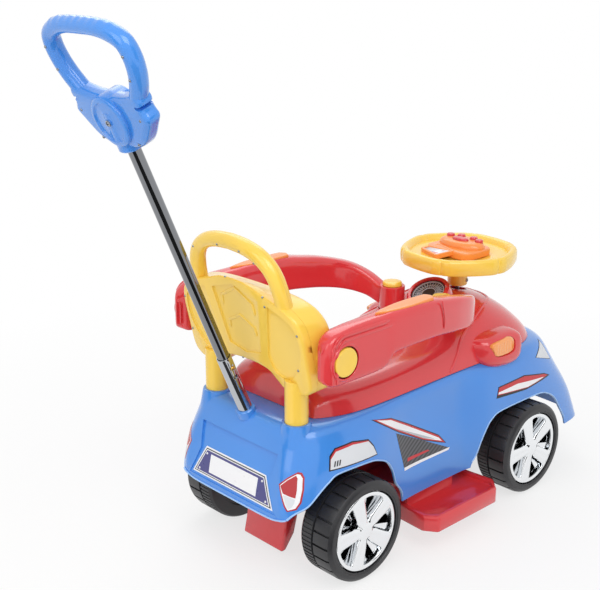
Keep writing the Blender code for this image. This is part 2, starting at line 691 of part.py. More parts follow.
KNUCKLE_TOP_Z = BEAM_TOP_Z - BEAM_PLATE - 0.0006
KNUCKLE_FOOT_Z = BEAM_BASE_Z + BEAM_PLATE + 0.0006
CRANK_TOP_Z = BEAM_TOP_Z - BEAM_PLATE - 0.0006
CRANK_THICKNESS = 0.004
TIE_ROD_TOP_Z = CRANK_TOP_Z - CRANK_THICKNESS - TIE_ROD_GAP
TIE_ROD_FOOT_Z = TIE_ROD_TOP_Z - TIE_ROD_THICKNESS
TIE_AHEAD = WHEELBASE - KNUCKLE_ARM
CRANK_RADIUS = STEER_AHEAD - TIE_AHEAD
KNUCKLE_LIMIT = asin(CRANK_RADIUS * sin(STEER_LIMIT) / KNUCKLE_ARM)


def steering_knuckle(name, side):
    """The barrel on the kingpin, the stub axle for the wheel and the steering arm."""
    origin = (side * KINGPIN_X, ahead(WHEELBASE), 0)
    knuckle = rod(KNUCKLE_RADIUS, KNUCKLE_FOOT_Z, KNUCKLE_TOP_Z, origin, sides=20)
    end = TRACK_HALF - 0.012 - KINGPIN_X
    join(knuckle, rod(AXLE_RADIUS, 0.004, end, (origin[0], origin[1], WHEEL_RADIUS),
                      outward(side), 16))
    arm_top = TIE_ROD_FOOT_Z - TIE_ROD_GAP
    join(knuckle, box((-0.005, 0.003, arm_top - 0.005), (0.005, KNUCKLE_ARM + 0.006, arm_top),
                      origin))
    join(knuckle, rod(LINK_PIN_RADIUS, arm_top - 0.004, TIE_ROD_TOP_Z + 0.001,
                      (origin[0], ahead(TIE_AHEAD), 0), sides=14))
    cut(knuckle, rod(KINGPIN_RADIUS + RUNNING, 0, 0.2, origin, sides=16))
    piece(knuckle, "steering_knuckle_" + name, STEEL, 0.35, 1.0)
    pin = rod(KINGPIN_RADIUS, BEAM_BASE_Z - 0.002, BEAM_TOP_Z + 0.001, origin, sides=16)
    join(pin, rod(KINGPIN_RADIUS + 0.003, BEAM_TOP_Z + SEAM, BEAM_TOP_Z + 0.004, origin,
                  sides=16))
    return piece(pin, "kingpin_" + name, STEEL, 0.35, 1.0)


def tie_rod():
    reach = KINGPIN_X + 0.008
    slot = LINK_PIN_RADIUS + LINK_SLOT_PLAY
    crank_stray = CRANK_RADIUS * (1 - cos(STEER_LIMIT))
    knuckle_stray = KNUCKLE_ARM * (1 - cos(KNUCKLE_LIMIT))
    rear = slot + 0.004
    front = slot + crank_stray + 0.004
    outline = [(-reach, rear), (-reach, -front), (reach, -front), (reach, rear)]
    bar = plate([outline] + [
        [(x + u, v) for u, v in arc((0, 0), slot, 0, 180, 7)
         + [(px, py - stray) for px, py in arc((0, 0), slot, 180, 360, 7)]]
        for x, stray in ((-KINGPIN_X, knuckle_stray), (0, crank_stray),
                         (KINGPIN_X, knuckle_stray))],
        TIE_ROD_FOOT_Z, TIE_ROD_TOP_Z, (0, ahead(TIE_AHEAD), 0))
    return piece(bar, "tie_rod", STEEL, 0.35, 1.0)


def steering_rod():
    """The steel rod from the wheel's boss to the crank that moves the tie rod."""
    origin = (0, ahead(STEER_AHEAD), 0)
    shaft = rod(STEER_ROD_RADIUS, CRANK_TOP_Z - CRANK_THICKNESS, STEER_RIM_Z - 0.020, origin,
                (0, 0, radians(5)), 16)
    crank = [(x, y) for x, y in arc((0, 0), 0.0062, 180, 360, 9)
             + arc((0, CRANK_RADIUS), 0.0055, 0, 180, 7)]
    join(shaft, plate([crank], CRANK_TOP_Z - CRANK_THICKNESS + 0.00005, CRANK_TOP_Z, origin))
    join(shaft, rod(LINK_PIN_RADIUS, TIE_ROD_FOOT_Z - 0.001, CRANK_TOP_Z - 0.001,
                    (0, ahead(TIE_AHEAD), 0), sides=14))
    return piece(shaft, "steering_rod", STEEL, 0.3, 1.0)


def rim_radius(angle):
    """The rim is a rounded octagon."""
    return STEER_RADIUS - STEER_RIM_RADIUS - 0.003 * (1 - cos(8 * angle)) / 2


def steering_wheel():
    origin = (0, ahead(STEER_AHEAD), STEER_RIM_Z)
    rings = []
    for i in range(32):
        turn = 2 * pi * i / 32
        rings.append([((rim_radius(turn) + STEER_RIM_RADIUS * u) * cos(turn),
                       (rim_radius(turn) + STEER_RIM_RADIUS * u) * sin(turn),
                       STEER_RIM_RADIUS * v * 1.15)
                      for u, v in arc((0, 0), 1, 0, 315, 8)])
    rings.append(rings[0])
    mesh = bmesh.new()
    rows = [[mesh.verts.new(point) for point in ring] for ring in rings[:-1]]
    for i, row in enumerate(rows):
        after = rows[(i + 1) % len(rows)]
        for j in range(len(row)):
            k = (j + 1) % len(row)
            mesh.faces.new((row[j], row[k], after[k], after[j]))
    wheel_rim = from_bmesh(mesh, origin)
    dish = plate([arc((0, 0), STEER_RADIUS - STEER_RIM_RADIUS - 0.006, 3, 348, 24)],
                 -0.006, DISH_TOP, origin)
    join(wheel_rim, dish)
    foot = STEER_BOSS_FOOT_Z - STEER_RIM_Z
    join(wheel_rim, rod(STEER_BOSS_RADIUS, foot, -0.003, origin))
    cut(wheel_rim, rod(STEER_ROD_RADIUS + SEAM / 2, foot - 0.01, -0.0205 + 0.001, origin,
                       sides=16))
    return piece(wheel_rim, "steering_wheel", YELLOW, 0.25)


def horn_places():
    """Button name, centre on the pad (right, ahead) and half sizes."""
    yield "oval", (0.0, 0.004), OVAL_HORN_HALF
    for number, (x, y) in enumerate(((-0.032, 0.016), (-0.014, 0.024), (0.014, 0.024),
                                     (0.032, 0.016)), 1):
        yield "round_%d" % number, (x, y), (SMALL_HORN_RADIUS, SMALL_HORN_RADIUS)


def ellipse(centre, half, grow=0.0, count=12):
    return [(centre[0] + (half[0] + grow) * cos(2 * pi * i / count),
             centre[1] + (half[1] + grow) * sin(2 * pi * i / count)) for i in range(count)]


def horn_pad():
    """The hollow music box on the wheel, its buttons and what it holds."""
    base = STEER_RIM_Z + DISH_TOP + SEAM
    origin = (0, ahead(STEER_AHEAD), base)
    x, y = PAD_LENGTH / 2, PAD_WIDTH / 2
    corner = 0.016
    outline = (arc((x - corner, y - corner), corner, 0, 90, 5)
               + arc((-x + corner, y - corner), corner, 90, 180, 5)
               + arc((-x + corner, -y + corner), corner, 180, 270, 5)
               + arc((x - corner, -y + corner), corner, 270, 360, 5))
    pad = plate([outline], 0, PAD_HEIGHT, origin)
    bevel(pad, 0.003, 1)
    shrink = (x - PAD_WALL) / x
    cut(pad, plate([[(u * shrink, v * shrink) for u, v in outline]], -0.01,
                   PAD_HEIGHT - PAD_WALL, origin))
    for name, centre, half in horn_places():
        cut(pad, plate([ellipse((centre[0], -centre[1]), half, BUTTON_PLAY)],
                       PAD_HEIGHT - PAD_WALL - 0.01, PAD_HEIGHT + 0.01, origin))
    piece(pad, "horn_pad", ORANGE, 0.25)
    board_top = PAD_HEIGHT - PAD_WALL - HORN_TRAVEL - 0.0045
    inside = [(u * 0.84, v * 0.80) for u, v in outline]
    board = plate([inside], SEAM, 0.0018, origin)
    for u, v, radius, high in ((-0.030, 0.014, 0.0125, 0.006), (0.030, 0.014, 0.0125, 0.006)):
        join(board, rod(radius, 0.001, high, (u, origin[1] + v, base), sides=16))
    piece(board, "sound_board", GREEN, 0.5)
    for name, centre, half in horn_places():
        spot = (centre[0], ahead(STEER_AHEAD + centre[1]), base)
        cap = plate([ellipse((0, 0), half)], PAD_HEIGHT - PAD_WALL - 0.0005,
                    PAD_HEIGHT + HORN_PROUD, spot)
        join(cap, plate([ellipse((0, 0), half, 0.0018)], board_top + 0.003,
                        PAD_HEIGHT - PAD_WALL - SEAM, spot))
        piece(cap, "horn_button_" + name, RED, 0.25)


def column_screw():
    head = STEER_BOSS_RADIUS - 0.001
    screw = rod(0.0035, head + 0.0012, head + 0.0035,
                (0, ahead(STEER_AHEAD), STEER_BOSS_FOOT_Z + 0.009),
                (0, radians(-90), radians(17)), 12)
    return piece(screw, "column_screw", STEEL, 0.3, 1.0)


BACK_ORIGIN = (0, ahead(-BACK_BEHIND), BACK_FOOT_Z)
BACK_FRAME = (pi / 2 + BACK_LEAN, 0, pi)     # local Y up the leaning rear face, local Z rearwards
BACK_HALF = ((0, .013), (.040, .011), (.062, -.014), (.117, -.015), (.129, .015), (.136, .067),
             (.141, .107), (.137, .129), (.119, .144), (.112, .152), (.110, .176),
             (.102, .198), (.084, .209), (.040, .213), (0, .214))
BACK_HOLE = ((0, .153), (.060, .156), (.086, .160), (.083, .181), (.071, .187), (.036, .189),
             (0, .190))
BACK_PANEL = ((.012, .030), (.070, .016), (.112, .022), (.122, .070), (.124, .106),
              (.060, .126), (.012, .130))
PANEL_DEPTH = 0.005
BACK_CAVITY = ((0, .021), (.108, .022), (.119, .067), (.124, .103), (.110, .131), (0, .137))
BACK_FACE_WALL = 0.004


def backrest():
    """Two moulded halves screwed together, cut level over the posts."""
    outlines = [mirrored([(x, z / cos(BACK_LEAN)) for x, z in half])
                for half in (BACK_HALF, BACK_HOLE)]
    ground = box((-0.3, -0.1, BACK_FOOT_Z - 0.1), (0.3, 0.3, BACK_FOOT_Z),
                 (0, ahead(-POST_BEHIND), 0))
    rear = plate(outlines, SEAM - BACK_REAR_SHELL, 0, BACK_ORIGIN, BACK_FRAME)
    bevel(rear, 0.0045)
    cut(rear, ground)
    for side in (RIGHT, LEFT):
        panel = [(side * x, y) for x, y in BACK_PANEL]
        cut(rear, plate([panel], -PANEL_DEPTH, 0.02, BACK_ORIGIN, BACK_FRAME))
    piece(rear, "backrest_rear", YELLOW, 0.3)
    front = plate(outlines, -BACK_DEPTH, -BACK_REAR_SHELL, BACK_ORIGIN, BACK_FRAME)
    bevel(front, 0.007)
    cut(front, ground)
    cut(front, box((-0.2, BACK_LOOP_FOOT, -BACK_DEPTH - 0.01), (0.2, 0.3, -BACK_LOOP_DEPTH),
                   BACK_ORIGIN, BACK_FRAME))
    boss_end = GUARD_X - GUARD_HALF_THICKNESS - 2 * SEAM
    for side in (RIGHT, LEFT):
        join(front, rod(BOSS_RADIUS, 0.120, boss_end, (0, ahead(-LATCH_BEHIND), LATCH_Z),
                        outward(side)))
    cut(front, plate([mirrored(BACK_CAVITY)], BACK_FACE_WALL - BACK_DEPTH,
                     0.02 - BACK_REAR_SHELL, BACK_ORIGIN, BACK_FRAME))
    return piece(front, "backrest_front", YELLOW, 0.3)


def backrest_post(name, side):
    post = rod(POST_RADIUS, DECK_Z - 0.0285, BACK_FOOT_Z - SEAM,
               (side * POST_X, ahead(-POST_BEHIND), 0))
    return piece(post, "backrest_post_" + name, YELLOW, 0.3)


# The guard rail's path as (x, ahead, height of its middle, half height, half thickness)
GUARD_PATH = (
    (.1625, -.092, .387, .037, .015), (.1635, -.080, .387, .041, .017),
    (GUARD_X, -.010, .387, .042, .017), (GUARD_X, .028, .388, .041, .017),
    (GUARD_X, .040, .399, .032, .018), (GUARD_X, .100, .400, .031, .019),
    (.1620, .150, .396, .030, .018), (.1580, .200, .388, .028, .016),
    (.1480, .245, .379, .027, .015), (.1300, .275, .371, .025, .014),
    (.1050, .292, .360, .022, .013), (.0760, HINGE_AHEAD, .346, .0185, .012),
)
GUARD_SECTION = ((1, .62), (.70, 1), (-.70, 1), (-1, .62), (-1, -.72), (-.75, -1), (.75, -1),
                 (1, -.72))


def guard_ring(side, index):
    """An upright section across the rail's path."""
    last = len(GUARD_PATH) - 1
    run = Vector(GUARD_PATH[min(index + 1, last)][:2]) - Vector(GUARD_PATH[max(index - 1, 0)][:2])
    if index == 0:
        run = Vector((0, 1))
    if index == last:
        run = Vector((-1, 0))
    run.normalize()
    x, y, middle, high, thick = GUARD_PATH[index]
    return [(side * (x + run.y * u * thick), ahead(y - run.x * u * thick), middle + v * high)
            for u, v in GUARD_SECTION]


def guard_rail(name, side):
    """The armrest rail that swings on its front post and latches at the backrest."""
    rail = loft([guard_ring(side, i) for i in range(len(GUARD_PATH))])
    post = (side * HINGE_X, ahead(HINGE_AHEAD), 0)
    join(rail, rod(COLLAR_RADIUS, COLLAR_FOOT_Z, COLLAR_TOP_Z, post))
    cut(rail, rod(HINGE_PIN_RADIUS + RUNNING, 0.3, 0.4, post))
    outer = GUARD_X + GUARD_HALF_THICKNESS
    latch = (0, ahead(-LATCH_BEHIND), LATCH_Z)
    cut(rail, rod(LATCH_RADIUS + 0.0025, LATCH_FLOOR_X, outer + 0.02, latch, outward(side)))
    cut(rail, rod(LATCH_STEM_RADIUS + RUNNING, 0.1, outer, latch, outward(side), 16))
    seat = inlay_outline()
    cut(rail, plate([[(side * x, y) for x, y in grown(seat, SEAM)]],
                    INLAY_Z - SEAM, INLAY_Z + 0.05, (0, REAR_AXLE_Y, 0)))
    piece(rail, "guard_rail_" + name, RED, 0.22)
    inlay = plate([[(side * x, y) for x, y in seat]], INLAY_Z, INLAY_Z + INLAY_THICKNESS,
                  (0, REAR_AXLE_Y, 0))
    bevel(inlay, 0.002, 1)
    piece(inlay, "guard_inlay_" + name, ORANGE, 0.25)
    disc = rod(LATCH_RADIUS, outer + LATCH_PROUD - LATCH_THICKNESS, outer + LATCH_PROUD, latch,
               outward(side))
    bevel(disc, 0.0015, 1)
    stem_end = GUARD_X - GUARD_HALF_THICKNESS + LATCH_TRAVEL + SEAM
    join(disc, rod(LATCH_STEM_RADIUS, stem_end, outer + LATCH_PROUD - 0.003, latch,
                   outward(side), 16))
    return piece(disc, "latch_button_" + name, YELLOW, 0.25)


def inlay_outline():
    """Half-round ended strip along the top of the rail."""
    half = 0.0125
    return (arc((GUARD_X, -.034), half, 0, 180, 7)
            + arc((GUARD_X - .001, -.128), half - 0.001, 180, 360, 7))


def grown(outline, amount):
    """The outline pushed outwards from its middle by about this amount."""
    cx = sum(x for x, _ in outline) / len(outline)
    cy = sum(y for _, y in outline) / len(outline)
    result = []
    for x, y in outline:
        away = hypot(x - cx, y - cy)
        result.append((x + (x - cx) / away * amount * 2, y + (y - cy) / away * amount * 2))
    return result


def hinge_post(name, side):
    origin = (side * HINGE_X, ahead(HINGE_AHEAD), 0)
    post = turned(((0, COLLAR_TOP_Z + SEAM), (HINGE_PIN_RADIUS, COLLAR_TOP_Z + SEAM),
                   (HINGE_PIN_RADIUS, COLLAR_FOOT_Z - SEAM),
                   (POST_BASE_RADIUS, COLLAR_FOOT_Z - SEAM),
                   (POST_BASE_RADIUS, HINGE_SOCKET_Z + SEAM), (0, HINGE_SOCKET_Z + SEAM)),
                  origin, closed=False)
    piece(post, "hinge_post_" + name, YELLOW, 0.3)
    base = COLLAR_TOP_Z + 2 * SEAM
    cap = turned(((0, base + HINGE_CAP_HEIGHT), (HINGE_CAP_RADIUS - 0.003, base + HINGE_CAP_HEIGHT),
                  (HINGE_CAP_RADIUS, base + HINGE_CAP_HEIGHT - 0.002), (HINGE_CAP_RADIUS, base),
                  (0, base)), origin, closed=False)
    return piece(cap, "hinge_cap_" + name, YELLOW, 0.3)


POLE_ORIGIN = (0, ahead(-POLE_BEHIND), DECK_Z)
POLE_FRAME = (-POLE_LEAN, 0, 0)      # local Z runs up the pole, local Y stays at its front


def sleeve():
    tube = turned(((SLEEVE_RADIUS, SLEEVE_LENGTH), (SLEEVE_RADIUS, -SLEEVE_BELOW),
                   (POLE_RADIUS + RUNNING, -SLEEVE_BELOW), (POLE_RADIUS + RUNNING, SLEEVE_LENGTH)),
                  POLE_ORIGIN, POLE_FRAME)
    for height in LOCK_HEIGHTS:
        cut(tube, rod(LOCK_RADIUS + SEAM, 0, 0.03, along_pole(height), outward(RIGHT), 10))
    return piece(tube, "pole_sleeve", CHROME, 0.12, 1.0)


def along_pole(height):
    """World place on the pole's axis, this far above the deck."""
    return (0, POLE_ORIGIN[1] + height * sin(POLE_LEAN), POLE_ORIGIN[2] + height * cos(POLE_LEAN))


def lock_button():
    """The spring button that holds the pole, on the sleeve's right side."""
    inner = POLE_RADIUS + RUNNING + LOCK_TRAVEL + 0.0001
    top = SLEEVE_RADIUS + 0.0028
    knob = turned(((0, top), (LOCK_RADIUS * 0.6, top - 0.0004), (LOCK_RADIUS, top - 0.0016),
                   (LOCK_RADIUS, inner), (0, inner)), along_pole(LOCK_HEIGHTS[0]), outward(RIGHT),
                  12, False)
    return piece(knob, "pole_lock_button", BRASS, 0.3, 1.0)


def pole():
    low, high = SLEEVE_LENGTH - POLE_INSERTION, POLE_LENGTH + HANDLE_SOCKET - 0.001
    bore = POLE_RADIUS - POLE_WALL
    tube = turned(((POLE_RADIUS, high), (POLE_RADIUS, low), (bore, low), (bore, high)),
                  POLE_ORIGIN, POLE_FRAME)
    return piece(tube, "push_pole", CHROME, 0.1, 1.0)


HANDLE_HALF = ((0, .001), (.028, .003), (.050, .012), (.072, .035), (.081, .050),
               (.074, .065), (.086, .086), (.099, .120), (.101, .145), (.088, .165),
               (.058, .176), (0, .181))
HANDLE_HOLE = ((0, .076), (.030, .078), (.053, .085), (.067, .105), (.074, .130), (.072, .145),
               (.056, .157), (0, .160))


def push_handle():
    """Two halves that clamp the top of the pole, with a loop for the hands."""
    foot = along_pole(POLE_LENGTH)
    frame = (pi / 2 + POLE_LEAN, 0, pi)
    for name, keep in (("rear", 1), ("front", -1)):
        shell = plate([mirrored(HANDLE_HALF), mirrored(HANDLE_HOLE)], -HANDLE_DEPTH / 2,
                      HANDLE_DEPTH / 2, foot, frame)
        bevel(shell, 0.006, 2, 50)
        join(shell, rod(HANDLE_HUB_RADIUS, -0.004, 0.058, foot, POLE_FRAME, sides=20))
        join(shell, rod(HANDLE_DISC_RADIUS, -HANDLE_DISC_HALF, HANDLE_DISC_HALF,
                        along_pole(POLE_LENGTH + HANDLE_EYE), frame, sides=28))
        cut(shell, rod(POLE_RADIUS + SEAM, -0.01, HANDLE_SOCKET, foot, POLE_FRAME))
        flat = sorted((-0.1 * keep, SEAM / 2 * keep))
        cut(shell, halved(box((-0.2, -0.05, flat[0]), (0.2, 0.3, flat[1]), foot, frame)))
        piece(shell, "handle_" + name, BLUE, 0.3)
    screw = rod(0.0045, HANDLE_DISC_HALF + SEAM, HANDLE_DISC_HALF + 0.0025,
                along_pole(POLE_LENGTH + HANDLE_EYE), frame, 12, 0.0035)
    return piece(screw, "handle_screw", STEEL, 0.35, 1.0)


def build():
    lower_body()
    upper_body()
    gauge_dial()
    floor_pan()
    rear_axle()
    anti_tip_block()
    front_beam()
    tie_rod()
    steering_rod()
    steering_wheel()
    horn_pad()
    column_screw()
    backrest()
    sleeve()
    lock_button()
    pole()
    push_handle()
    for name, side in SIDES:
        indicator_lens(name, side)
        footstep(name, side)
        steering_knuckle(name, side)
        backrest_post(name, side)
        guard_rail(name, side)
        hinge_post(name, side)
    for end, axle in (("front", WHEELBASE), ("rear", 0)):
        for name, side in SIDES:
            wheel(end + "_" + name, side, axle)
            hubcap(end + "_" + name, side, axle)
            cap_nut(end + "_" + name, side, axle)


build()
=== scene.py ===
import json
from collections import Counter
from math import atan2, cos, exp, hypot, pi, radians, sin

import bmesh
import bpy
from mathutils import Euler, Matrix, Vector
from mathutils.bvhtree import BVHTree


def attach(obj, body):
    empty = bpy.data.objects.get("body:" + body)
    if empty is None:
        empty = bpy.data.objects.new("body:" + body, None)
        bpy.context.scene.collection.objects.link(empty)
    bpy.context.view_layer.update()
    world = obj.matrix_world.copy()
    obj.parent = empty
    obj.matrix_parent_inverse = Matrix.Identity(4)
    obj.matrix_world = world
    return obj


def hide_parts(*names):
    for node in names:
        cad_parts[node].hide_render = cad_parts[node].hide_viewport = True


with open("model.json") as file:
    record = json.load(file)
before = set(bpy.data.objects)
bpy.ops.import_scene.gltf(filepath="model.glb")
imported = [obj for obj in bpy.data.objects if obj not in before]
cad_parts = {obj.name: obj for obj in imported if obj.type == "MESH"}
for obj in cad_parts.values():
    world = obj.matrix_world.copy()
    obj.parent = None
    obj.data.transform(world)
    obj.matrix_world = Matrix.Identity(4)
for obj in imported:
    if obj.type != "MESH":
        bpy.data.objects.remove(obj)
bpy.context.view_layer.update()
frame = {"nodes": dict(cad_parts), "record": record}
BODY_OF = {node: body for body, nodes in frame["record"]["behaviour"]["bodies"].items()
           for node in nodes}
bpy.ops.object.select_all(action="DESELECT")

# Driving sizes, in metres, as the solids have them
REAR_AXLE_Y = 0.1335
WHEELBASE = 0.4285
WHEEL_RADIUS = 0.083
TYRE_WIDTH = 0.066
TRACK_HALF = 0.1735
WALL = 0.003
DECK_Z = 0.262
REAR_EDGE = (0.121, 0.121, 0.125, 0.142)
STEER_AHEAD = WHEELBASE - 0.0185
RIM_Z = 0.4115
PLAY = 0.0003
POST_X = 0.093
POST_BEHIND = 0.074
POST_RADIUS, POST_HOLE = 0.018, 0.0183
BACK_LEAN = radians(13)
HINGE_X = 0.057
HINGE_AHEAD = 0.299
GUARD_X = 0.1640
LATCH_BEHIND = 0.060
LATCH_Z = 0.380
POLE_BEHIND = 0.094
POLE_LEAN = radians(23.5)
POLE_LENGTH = 0.4725
DOUBLES = 0.000005
RIGHT, LEFT = -1, 1
SIDES = (("right", RIGHT), ("left", LEFT))


def ahead(distance):
    """World Y of a point that lies this far ahead of the rear axle."""
    return REAR_AXLE_Y - distance


def at(place, turn=(0, 0, 0)):
    """A frame at a place, turned by Euler angles."""
    return Matrix.Translation(place) @ Euler(turn).to_matrix().to_4x4()


def outward(side, x, distance, z):
    """A frame on the car's side whose Z points to the outside."""
    return at((side * x, ahead(distance), z), (0, side * pi / 2, 0))


def side_frame(side, distance=0):
    """A frame whose X runs ahead, whose Y runs up and whose Z points out to the side."""
    return Matrix.Translation((0, ahead(distance), 0)) @ Matrix(
        ((0, 0, side, 0), (-1, 0, 0, 0), (0, 1, 0, 0), (0, 0, 0, 1)))


def back_post(side):
    return at((side * POST_X, ahead(-POST_BEHIND), 0))


def front_post(side):
    return at((side * HINGE_X, ahead(HINGE_AHEAD), 0))


def latch_frame(side):
    return outward(side, 0, -LATCH_BEHIND, LATCH_Z)


def along_pole(height):
    """The place on the pole's axis at a distance from the deck."""
    return (0, ahead(-POLE_BEHIND) + height * sin(POLE_LEAN), DECK_Z + height * cos(POLE_LEAN))


def facing(place, target, axis):
    """The turn that points an axis from one place at another."""
    return (Vector(target) - Vector(place)).to_track_quat(axis, "Y").to_euler()


POLE = at(along_pole(0), (-POLE_LEAN, 0, 0))


# Finishes -------------------------------------------------------------------------------------

def srgb(colour):
    """A written colour as the linear values that a shader takes."""
    channels = [int(colour[i:i + 2], 16) / 255 for i in (1, 3, 5)]
    return tuple(c / 12.92 if c <= 0.04045 else ((c + 0.055) / 1.055) ** 2.4
                 for c in channels) + (1,)


def add(tree, kind, values=None, links=None, **settings):
    """Adds a shader node with its settings, its socket values and its links."""
    made = tree.nodes.new(kind)
    for key, value in settings.items():
        setattr(made, key, value)
    for key, value in (values or {}).items():
        made.inputs[key].default_value = value
    for key, source in (links or {}).items():
        tree.links.new(source, made.inputs[key])
    return made


def start_material(name, base=None, roughness=None, **more):
    """A new material with its shader and the object's own place for its textures."""
    material = bpy.data.materials.new(name)
    material.use_nodes = True
    tree = material.node_tree
    shader = tree.nodes["Principled BSDF"]
    if base:
        shader.inputs["Base Color"].default_value = srgb(base)
    if roughness is not None:
        shader.inputs["Roughness"].default_value = roughness
    for key, value in more.items():
        shader.inputs[key.replace("_", " ")].default_value = value
    return material, tree, shader, add(tree, "ShaderNodeTexCoord").outputs["Object"]


def noise(tree, place, scale, detail, **more):
    made = add(tree, "ShaderNodeTexNoise", {"Scale": scale, "Detail": detail, **more},
               {"Vector": place})
    return made.outputs["Fac"]


def vary_colour(tree, shader, source, stops):
    """Colours a shader by a ramp over stops of (position, colour)."""
    ramp = add(tree, "ShaderNodeValToRGB", None, {"Fac": source})
    for i, (position, colour) in enumerate(stops):
        scale = ramp.color_ramp.elements
        stop = scale[i] if i < 2 else scale.new(position)
        stop.position = position
        stop.color = srgb(colour)
    tree.links.new(ramp.outputs["Color"], shader.inputs["Base Color"])
    return ramp.color_ramp


def vary_gloss(tree, shader, source, low, high, **limits):
    gloss = add(tree, "ShaderNodeMapRange", {"To Min": low, "To Max": high, **limits},
                {"Value": source})
    tree.links.new(gloss.outputs["Result"], shader.inputs["Roughness"])


def ripple(tree, shader, source, strength, depth):
    bump = add(tree, "ShaderNodeBump", {"Strength": strength, "Distance": depth},
               {"Height": source})
    tree.links.new(bump.outputs["Normal"], shader.inputs["Normal"])


def moulded(name, base, shade, roughness, ior=1.5, peel_mm=2.6, depth=0.000010, coat=0.0):
    """Moulded plastic: a faint mottle in the colour and the soft ripple of the tool's polish."""
    material, tree, shader, place = start_material(
        name, IOR=ior, Coat_Weight=coat, Coat_Roughness=0.08)
    vary_colour(tree, shader, noise(tree, place, 7.0, 1.0, Roughness=0.4),
                ((0.2, shade), (0.8, base)))
    vary_gloss(tree, shader, noise(tree, place, 45.0, 4.0), roughness - 0.02, roughness + 0.03,
               **{"From Min": 0.3, "From Max": 0.7})
    ripple(tree, shader, noise(tree, place, 1000 / peel_mm, 2.0), 0.5, depth)
    return material


def plated(name, base, roughness, ripple_mm=9.0, depth=0.00006):
    """Bright metal: the gloss breaks a little where the polish waves."""
    material, tree, shader, place = start_material(name, base, Metallic=1.0)
    wave = noise(tree, place, 1000 / ripple_mm, 2.0)
    ripple(tree, shader, wave, 0.4, depth)
    vary_gloss(tree, shader, wave, roughness * 0.7, roughness * 1.4)
    return material


def printed(name, base, roughness=0.3):
    """Printed vinyl film: flat colour under a clear gloss, a little uneven from the squeegee."""
    material, tree, shader, place = start_material(name, base)
    vary_gloss(tree, shader, noise(tree, place, 130.0, 1.0), roughness - 0.06, roughness + 0.06)
    return material


def lined_film(name, base, line, pitch_mm):
    """Vinyl printed with fine straight lines, drawn coarser than the real 0.5 mm to show."""
    material, tree, shader, place = start_material(name, None, 0.35)
    slanted = add(tree, "ShaderNodeMapping", {"Rotation": (0.5, 0, 0)}, {"Vector": place})
    wave = add(tree, "ShaderNodeTexWave", {"Scale": 1000 / pitch_mm / 20},
               {"Vector": slanted.outputs[0]}, bands_direction="Z")
    vary_colour(tree, shader, wave.outputs["Fac"], ((0.45, base), (0.6, line)))
    return material


def picture_film(name):
    """Silver film with soft plain patches in the toy's colours."""
    material, tree, shader, place = start_material(name, None, 0.3, Metallic=0.35)
    cells = add(tree, "ShaderNodeTexVoronoi", {"Scale": 70.0}, {"Vector": place})
    scale = vary_colour(tree, shader, cells.outputs["Color"], (
        (0.0, "#C9CCD2"), (0.34, "#DADCE2"), (0.52, "#8D93B4"), (0.62, "#D7D9DF"),
        (0.74, "#C98A8E"), (0.82, "#E6E8EC")))
    scale.interpolation = "CONSTANT"
    return material


# Polypropylene shells, blow-moulded and injection-moulded: smooth, bright and a little waxy
BLUE_PP = moulded("polypropylene_blue", "#4590E6", "#3F89DF", 0.20, coat=0.5)
RED_PP = moulded("polypropylene_red", "#E03C42", "#D93439", 0.18, coat=0.5)
YELLOW_PP = moulded("polypropylene_yellow", "#FBD457", "#F8CC4A", 0.24, coat=0.35)
# ABS trim: harder and glossier than the shells
ORANGE_ABS = moulded("abs_orange", "#FA9A4E", "#F59245", 0.24, coat=0.2)
RED_ABS = moulded("abs_red", "#E2474B", "#D83E43", 0.2, coat=0.3)
LAMP_PS = moulded("polystyrene_amber", "#FBA860", "#F89C50", 0.1, ior=1.58, coat=0.5)
# Blow-moulded polyethylene wheels: satin black, the tread slightly rougher
BLACK_PE = moulded("polyethylene_black", "#2E2E31", "#262629", 0.38, peel_mm=1.6, depth=0.00003)
# The rolled lip round the blue shell's arches and bumper is coloured pale blue: a painted
# highlight along its edge
BLUE_LIP_HIGHLIGHT = moulded("polypropylene_blue_painted_highlight", "#A6CCF8", "#96C0F2", 0.4)
SILVER_ABS = moulded("abs_silver", "#C4C7CC", "#B7BAC0", 0.3)
GREEN_BOARD = moulded("circuit_board_green", "#28693C", "#225C34", 0.45)
# Chrome plate over ABS and over steel tube, zinc plate on fasteners, turned brass
CHROME_ABS = plated("chrome_plated_abs", "#EEF0F2", 0.07, 9.0, 0.00003)
CHROME_TUBE = plated("chrome_plated_tube", "#B9BCC0", 0.06, 14.0, 0.00001)
# The pole's chrome has a darker base colour than the sleeve's: a painted dark reflection
CHROME_POLE_DARK_REFLECTION = plated("chrome_plated_pole_painted_dark_reflection", "#85878B", 0.05, 14.0, 0.00001)
ZINC_STEEL = plated("zinc_plated_steel", "#A9ABAF", 0.3, 3.0)
BRASS = plated("turned_brass", "#C8A35C", 0.25, 4.0)
# Sticker inks on vinyl film
WHITE_FILM = printed("vinyl_white", "#F4F4F6")
BLACK_FILM = printed("vinyl_black", "#1D1D20")
RED_FILM = printed("vinyl_red", "#C9323A")
GREY_FILM = printed("vinyl_grey", "#B9BDC3")
INDIGO_FILM = printed("vinyl_indigo", "#4B4A86")
PEARL_FILM = printed("vinyl_pearl", "#DDE0E4")
LAMP_RED_FILM = printed("vinyl_lamp_red", "#B8383C", 0.16)
CARBON_FILM = lined_film("vinyl_fine_lines", "#3A3A3E", "#5C5D62", 1.1)
PICTURE_FILM = picture_film("vinyl_silver_picture")


# Modelling steps ------------------------------------------------------------------------------

def only(obj):
    """Makes a piece the only selected and the active one."""
    bpy.ops.object.select_all(action="DESELECT")
    obj.select_set(True)
    bpy.context.view_layer.objects.active = obj
    return obj


def edit(obj, kind="VERT"):
    """Enters edit mode with everything selected."""
    only(obj)
    bpy.ops.object.mode_set(mode="EDIT")
    bpy.ops.mesh.select_mode(type=kind)
    bpy.ops.mesh.select_all(action="SELECT")


def leave():
    bpy.ops.object.mode_set(mode="OBJECT")


